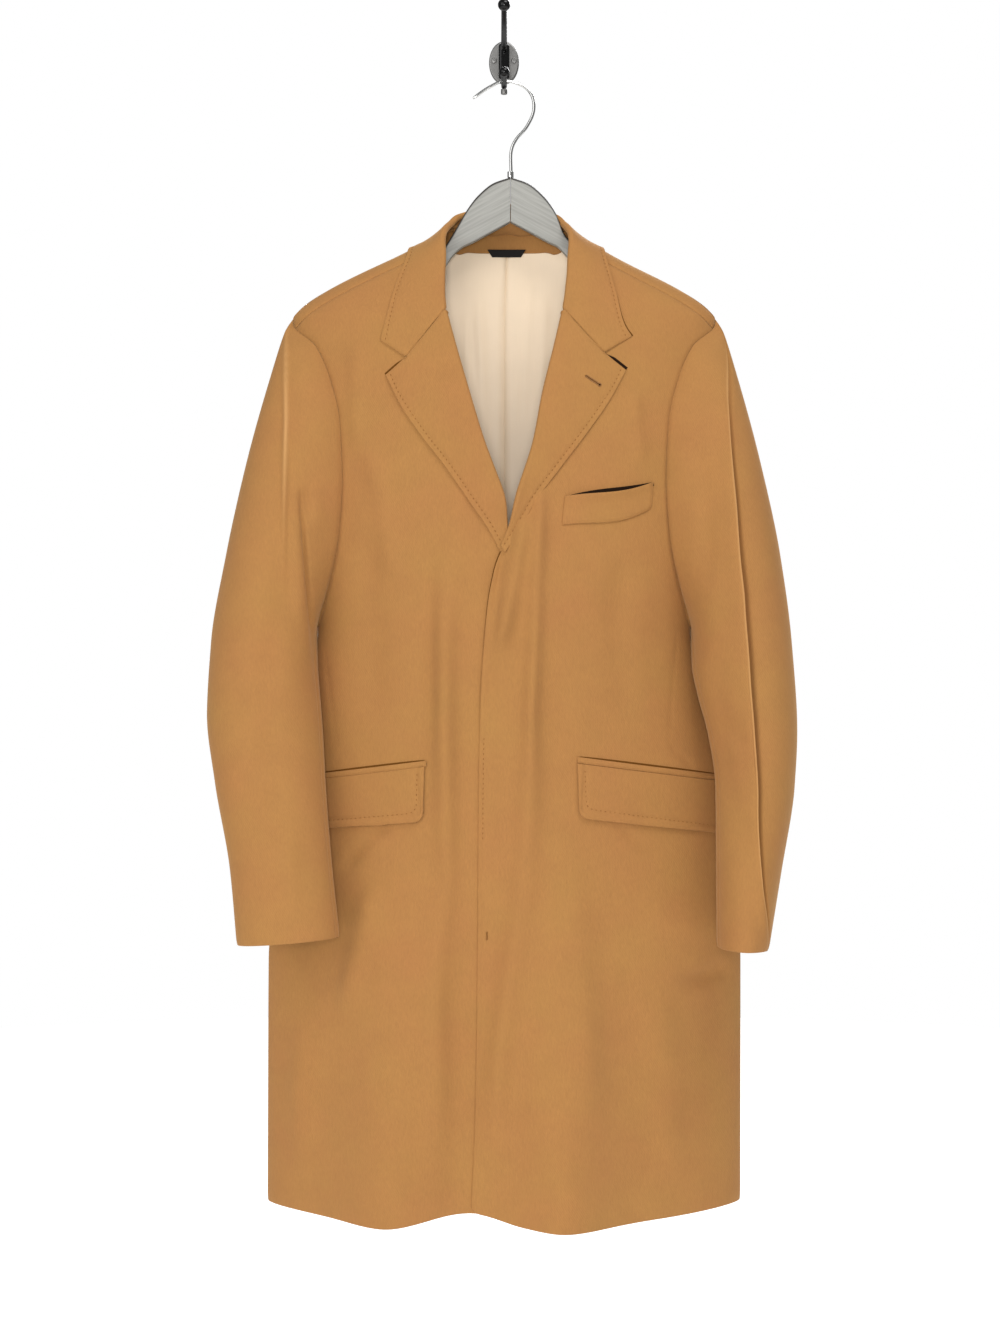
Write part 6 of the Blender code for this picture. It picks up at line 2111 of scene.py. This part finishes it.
def apply_modifier(obj, kind, **settings):
    """Adds a modifier, sets it up and applies it."""
    only_active(obj)
    modifier = obj.modifiers.new(kind.lower(), kind)
    for name, value in settings.items():
        setattr(modifier, name, value)
    bpy.ops.object.modifier_apply(modifier=modifier.name)


def smooth_route(points, steps):
    """Evenly counted points on a smooth curve through a route's own points."""
    points = [np.array(point, float) for point in points]
    spans = [np.linalg.norm(b - a) for a, b in zip(points, points[1:])]
    keys = np.concatenate([[0.0], np.cumsum(spans)])
    padded = [2 * points[0] - points[1]] + points + [2 * points[-1] - points[-2]]
    route = []
    for length in np.linspace(0, keys[-1], steps + 1):
        i = min(int(np.searchsorted(keys, length, side="right")) - 1, len(spans) - 1)
        t = (length - keys[i]) / spans[i]
        a, b, c, d = padded[i : i + 4]
        bend = (2 * a - 5 * b + 4 * c - d) * t * t + (3 * b - 3 * c + d - a) * t**3
        route.append(0.5 * (2 * b + (c - a) * t + bend))
    return route


def bent_bar(points, radii, sides=20):
    """Bar along a route, with a radius for each point: a curve with a round section, made mesh and closed."""
    deselect_all()
    bpy.ops.curve.primitive_bezier_curve_add(location=(0.0, 0.0, 0.0))
    obj = bpy.context.object
    curve = obj.data
    curve.splines.clear()
    curve.dimensions = "3D"
    curve.bevel_depth = 1.0
    curve.bevel_resolution = (sides - 4) // 2
    curve.use_fill_caps = True
    spline = curve.splines.new("POLY")
    spline.points.add(len(points) - 1)
    for knot, place, radius in zip(spline.points, points, radii):
        knot.co = (*place, 1.0)
        knot.radius = float(radius)
    bpy.ops.object.convert(target="MESH")
    bpy.ops.object.mode_set(mode="EDIT")
    bpy.ops.mesh.select_all(action="SELECT")
    bpy.ops.mesh.remove_doubles(threshold=SAME_PLACE)
    bpy.ops.mesh.normals_make_consistent(inside=False)
    bpy.ops.object.mode_set(mode="OBJECT")
    return only_active(bpy.context.object)


def hanger_outline(side):
    """Top and foot of one half of the hanger: distances out, top heights and foot heights."""
    aways = HANGER_HALF * (np.linspace(0, 1, 61)) ** 1.15
    coat_away = aways + SIGN[side] * (HANGER_X - NECK_SHIFT)
    under_cloth = ridge_z(np.maximum(coat_away, 0.0)) - HANGER_DROP_AT(coat_away)
    head = HANGER_HEAD_AT(aways)
    near = mix(head, np.minimum(head, under_cloth), eased(*HEAD_MEETS_ARM, coat_away))
    top = np.where(aways > HANGER_HEAD[-1][0], under_cloth, near)
    foot = mix(HANGER_NOTCH - aways * RIDGE_FALL, top - HANGER_ARM, eased(*NOTCH_MEETS_ARM, aways))
    return aways, top, foot


def cylinder(radius, depth, place, vertices, lying=False):
    """Upright cylinder, or one that lies along Y."""
    deselect_all()
    turn = (math.pi / 2 if lying else 0.0, 0.0, 0.0)
    bpy.ops.mesh.primitive_cylinder_add(
        vertices=vertices, radius=radius, depth=depth, location=place, rotation=turn
    )
    return bpy.context.active_object


def block(place, size, turn=0.0):
    """Box with its own size, turned about Y."""
    deselect_all()
    bpy.ops.mesh.primitive_cube_add(size=1.0, location=place, rotation=(0.0, turn, 0.0))
    box = bpy.context.active_object
    box.scale = size
    return box


def rounded(obj, width, segments):
    """Softens an object's sharp edges."""
    sharp = math.radians(SHARP_ANGLE)
    apply_modifier(obj, "BEVEL", width=width, segments=segments, limit_method="ANGLE", angle_limit=sharp)


def joined(obj, operation, tool):
    """Cuts or joins an object with another, which goes."""
    bpy.context.view_layer.update()
    apply_modifier(obj, "BOOLEAN", operation=operation, object=tool, solver="EXACT")
    bpy.data.objects.remove(tool)


def pick_faces(obj, way):
    """Goes into edit mode with the faces selected that face along a direction."""
    bpy.ops.object.mode_set(mode="EDIT")
    bpy.ops.mesh.select_all(action="DESELECT")
    bpy.ops.mesh.select_mode(type="FACE")
    mesh = bmesh.from_edit_mesh(obj.data)
    for face in mesh.faces:
        face.select_set(face.normal.dot(Vector(way)) > FACES_ALONG)
    bmesh.update_edit_mesh(obj.data)


class COAT_OT_hanger(bpy.types.Operator):
    """Models the wooden hanger's two halves, its ferrule and its wire hook"""

    bl_idname = "topcoat.hanger"
    bl_label = "Hanger"

    def execute(self, context):
        sizes = context.scene.topcoat_sizes
        chrome = finish_named("chrome")
        for side in SIDES:
            aways, top, foot = hanger_outline(side)
            board = self.saw_board(side, aways, top, foot, sizes.hanger_thick)
            self.weigh_edges(board, aways, (top + foot) / 2)
            apply_modifier(
                board, "BEVEL", width=BOARD_ROUND, segments=3, limit_method="WEIGHT", use_clamp_overlap=False
            )
            settled(board, f"hanger_{side}_board", finish_named("wood"), angle=40.0)
            finish_piece(board, "washed_wood", [f"hanger_arm_{side}"])

        foot = HANGER_HEAD[0][1] + SEAT_GAP
        place = (HANGER_X, HANGER_Y, (FERRULE_TOP + foot) / 2)
        ferrule = cylinder(FERRULE_RADIUS, FERRULE_TOP - foot, place, 32)
        pick_faces(ferrule, (0.0, 0.0, 1.0))
        bpy.ops.mesh.inset(thickness=FERRULE_LIP)
        bpy.ops.mesh.extrude_region_move(TRANSFORM_OT_translate={"value": (0.0, 0.0, -FERRULE_DISH)})
        bpy.ops.object.mode_set(mode="OBJECT")
        rounded(ferrule, FERRULE_ROUND, 2)
        settled(ferrule, "hanger_ferrule_cup", chrome)
        finish_piece(ferrule, "chrome_wire", ["hanger_ferrule"])

        route = smooth_route([(x, HANGER_Y, z) for x, z in WIRE_ROUTE], 90)
        radii = np.full(len(route), sizes.wire)
        radii[-len(WIRE_TIP) :] = sizes.wire * np.array(WIRE_TIP)
        wire = bent_bar(route, radii, 16)
        settled(wire, "hanger_hook_wire", chrome)
        finish_piece(wire, "chrome_wire", ["hanger_hook"])
        return {"FINISHED"}

    def saw_board(self, side, aways, top, foot, thick):
        """Board of one half of the hanger, its outer end rounded off."""
        deselect_all()
        bpy.ops.mesh.primitive_grid_add(x_subdivisions=len(aways) - 1, y_subdivisions=1, size=1.0)
        board = bpy.context.active_object
        order = sorted(board.data.vertices, key=lambda v: (round(v.co.x, 6), v.co.y))
        beyond = np.clip((aways - HANGER_TIP_AT) / HANGER_TIP_LONG, 0.0, 1.0)
        ending = np.maximum(np.sqrt(1 - beyond**2), HANGER_TIP_LEAST)
        for i, vertex in enumerate(order):
            column, upper = divmod(i, 2)
            middle = (top[column] + foot[column]) / 2
            height = top[column] if upper else foot[column]
            x = HANGER_X + SIGN[side] * (aways[column] + MITRE_GAP)
            vertex.co = (x, HANGER_Y - thick / 2, middle + (height - middle) * ending[column])
        bpy.ops.object.mode_set(mode="EDIT")
        bpy.ops.mesh.select_all(action="SELECT")
        bpy.ops.mesh.extrude_region_move(TRANSFORM_OT_translate={"value": (0.0, thick, 0.0)})
        bpy.ops.mesh.select_all(action="SELECT")
        bpy.ops.mesh.normals_make_consistent(inside=False)
        bpy.ops.object.mode_set(mode="OBJECT")
        return board

    def weigh_edges(self, board, aways, middles):
        """Sets how much the board's edges are rounded: the upper ones most, the mitre least."""
        weights = board.data.attributes.new("bevel_weight_edge", "FLOAT", "EDGE")
        for edge in board.data.edges:
            start, end = (board.data.vertices[i].co for i in edge.vertices)
            if abs(start.y - end.y) > SAME_PLACE:
                continue
            if abs(start.x - end.x) > SAME_PLACE:
                upper = start.z > np.interp(abs(start.x - HANGER_X), aways, middles)
                weights.data[edge.index].value = 1.0 if upper else LOWER_ROUND
            elif abs(start.x - HANGER_X) < MITRE_NEAR:
                weights.data[edge.index].value = MITRE_ROUND


class COAT_OT_wall_hook(bpy.types.Operator):
    """Models the wall hook: plate, screws, rib, two arms with balls and the peg"""

    bl_idname = "topcoat.wall_hook"
    bl_label = "Wall hook"

    def execute(self, context):
        enamel = finish_named("enamel")
        zinc = finish_named("zinc")
        plate = cylinder(0.5, PLATE_THICK, (0.0, -PLATE_THICK / 2, 0.0), 72, True)
        plate.scale = (PLATE_WIDE, PLATE_TALL, 1.0)
        settled(plate, "hook_plate_oval", zinc)
        pick_faces(plate, FORWARDS)
        bpy.ops.mesh.bevel(offset=PLATE_ROUND, segments=4, affect="EDGES")
        bpy.ops.object.mode_set(mode="OBJECT")
        bpy.ops.object.shade_smooth_by_angle(angle=math.radians(SMOOTH_ANGLE))
        finish_piece(plate, "grey_metal", ["hook_plate"])

        seat = -PLATE_THICK - SEAT_GAP
        for side, angle in zip(SIDES, SLOT_ANGLES):
            x = SIGN[side] * SCREW_X
            screw = cylinder(SCREW_RADIUS, SCREW_HEIGHT, (x, seat - SCREW_HEIGHT / 2, SCREW_Z), 40, True)
            rounded(screw, SCREW_ROUND, 3)
            slot_size = (SLOT_LONG, SLOT_DEEP, SLOT_WIDE)
            slot = block((x, seat - SCREW_HEIGHT, SCREW_Z), slot_size, math.radians(angle))
            joined(screw, "DIFFERENCE", slot)
            settled(screw, f"hook_screw_{side}_slotted", zinc)
            finish_piece(screw, "grey_metal", [f"hook_screw_{side}"])

        boss = block((0.0, seat - BOSS_THICK / 2, 0.0), (BOSS_WIDE, BOSS_THICK, BOSS_TALL))
        bpy.ops.object.transform_apply(location=False, rotation=False, scale=True)
        rounded(boss, BOSS_ROUND, 5)
        settled(boss, "hook_rib", enamel)
        finish_piece(boss, "black_enamel", ["hook_boss"])

        arms = {
            "hook_upper_arm": (UPPER_ROUTE, UPPER_BALL, UPPER_BALL_RADIUS),
            "hook_lower_arm": (LOWER_ROUTE, LOWER_BALL, LOWER_BALL_RADIUS),
        }
        for name, (way, ball_place, ball_radius) in arms.items():
            route = smooth_route([(0.0, y, z) for y, z in way], 40)
            bar = bent_bar(route, ARM_RADIUS * np.linspace(1.0, ARM_TAPER, len(route)), 24)
            deselect_all()
            bpy.ops.mesh.primitive_uv_sphere_add(
                segments=32, ring_count=20, radius=ball_radius, location=(0.0, *ball_place)
            )
            joined(bar, "UNION", context.active_object)
            settled(bar, f"{name}_cast", enamel, angle=50.0)
            finish_piece(bar, "black_enamel", [name])

        lowest_y, lowest_z = LOWER_ROUTE[3]
        peg_z = lowest_z - ARM_RADIUS - SEAT_GAP - PEG_TALL / 2
        peg = cylinder(PEG_RADIUS, PEG_TALL, (0.0, lowest_y, peg_z), 32)
        rounded(peg, PEG_ROUND, 3)
        settled(peg, "hook_peg_turned", zinc)
        finish_piece(peg, "grey_metal", ["hook_peg"])
        return {"FINISHED"}


class COAT_OT_stage(bpy.types.Operator):
    """Sets up the pale floor, the soft studio light and the camera"""

    bl_idname = "topcoat.stage"
    bl_label = "Studio"

    def execute(self, context):
        stage = context.scene.topcoat_stage
        deselect_all()
        place = (0.0, FLOOR_Y, stage.floor_drop)
        bpy.ops.mesh.primitive_circle_add(vertices=96, radius=FLOOR_RADIUS, fill_type="NGON", location=place)
        floor = settled(context.active_object, "studio_floor", matt_paint())
        self.light_room(context.scene, stage.sky)
        for name, place, size, share, power in LIGHTS:
            data = bpy.data.lights.new(name, "AREA")
            data.shape = "RECTANGLE"
            data.size, data.size_y = size
            data.energy = share * getattr(stage, power)
            lamp = bpy.data.objects.new(name, data)
            context.scene.collection.objects.link(lamp)
            lamp.location = place
            way = Vector(LIT_PLACE) - Vector(place)
            lamp.rotation_euler = way.to_track_quat("-Z", "Y").to_euler()

        camera_data = bpy.data.cameras.new("photo_camera")
        camera_data.lens = CAMERA_LENS
        camera_data.sensor_width = CAMERA_SENSOR
        camera_data.clip_end = CAMERA_REACH
        camera = bpy.data.objects.new("photo_camera", camera_data)
        camera.location = CAMERA_PLACE
        camera.rotation_euler = (math.pi / 2, 0.0, 0.0)
        context.scene.collection.objects.link(camera)
        context.scene.camera = camera
        context.scene.view_settings.view_transform = "Standard"
        return {"FINISHED"}

    def light_room(self, scene, strength):
        """White room that lights the coat softly and looks plain white to the camera."""
        world = bpy.data.worlds.new("white_room")
        scene.world = world
        world.use_nodes = True
        tree = world.node_tree
        room = tree.nodes["Background"]
        set_inputs(tree, room, {"Color": WHITE, "Strength": strength})
        seen = add_node(tree, "ShaderNodeBackground", inputs={"Color": WHITE, "Strength": 1.0})
        straight = add_node(tree, "ShaderNodeLightPath").outputs["Is Camera Ray"]
        sources = {0: straight, 1: room.outputs[0], 2: seen.outputs[0]}
        both = add_node(tree, "ShaderNodeMixShader", inputs=sources)
        tree.links.new(both.outputs[0], tree.nodes["World Output"].inputs["Surface"])


class COAT_PT_panel(bpy.types.Panel):
    """Lists the steps and the values that they use"""

    bl_idname = "COAT_PT_panel"
    bl_label = "Topcoat"
    bl_space_type = "VIEW_3D"
    bl_region_type = "UI"
    bl_category = "Topcoat"

    def draw(self, context):
        for step in STEPS:
            self.layout.operator(step.bl_idname)
        scene = context.scene
        for group in (scene.topcoat_sizes, scene.topcoat_colours, scene.topcoat_stage):
            box = self.layout.box()
            for name in group.__annotations__:
                box.prop(group, name)


STEPS = (
    COAT_OT_body,
    COAT_OT_sleeves,
    COAT_OT_lapels,
    COAT_OT_collar,
    COAT_OT_neck,
    COAT_OT_pockets,
    COAT_OT_stitching,
    COAT_OT_hanger,
    COAT_OT_wall_hook,
    COAT_OT_stage,
)
CLASSES = (TopcoatSizes, TopcoatColours, TopcoatStage, *STEPS, COAT_PT_panel)


def register():
    for cls in CLASSES:
        bpy.utils.register_class(cls)
    bpy.types.Scene.topcoat_sizes = bpy.props.PointerProperty(type=TopcoatSizes)
    bpy.types.Scene.topcoat_colours = bpy.props.PointerProperty(type=TopcoatColours)
    bpy.types.Scene.topcoat_stage = bpy.props.PointerProperty(type=TopcoatStage)


def unregister():
    del bpy.types.Scene.topcoat_stage
    del bpy.types.Scene.topcoat_colours
    del bpy.types.Scene.topcoat_sizes
    for cls in reversed(CLASSES):
        bpy.utils.unregister_class(cls)


def clear_startup():
    """Removes the startup scene's own cube, lamp and camera."""
    for name in ("Cube", "Light", "Camera"):
        if name in bpy.data.objects:
            bpy.data.objects.remove(bpy.data.objects[name])


def main():
    register()
    clear_startup()
    for step in STEPS:
        group, name = step.bl_idname.split(".")
        getattr(getattr(bpy.ops, group), name)()


if __name__ == "__main__":
    main()
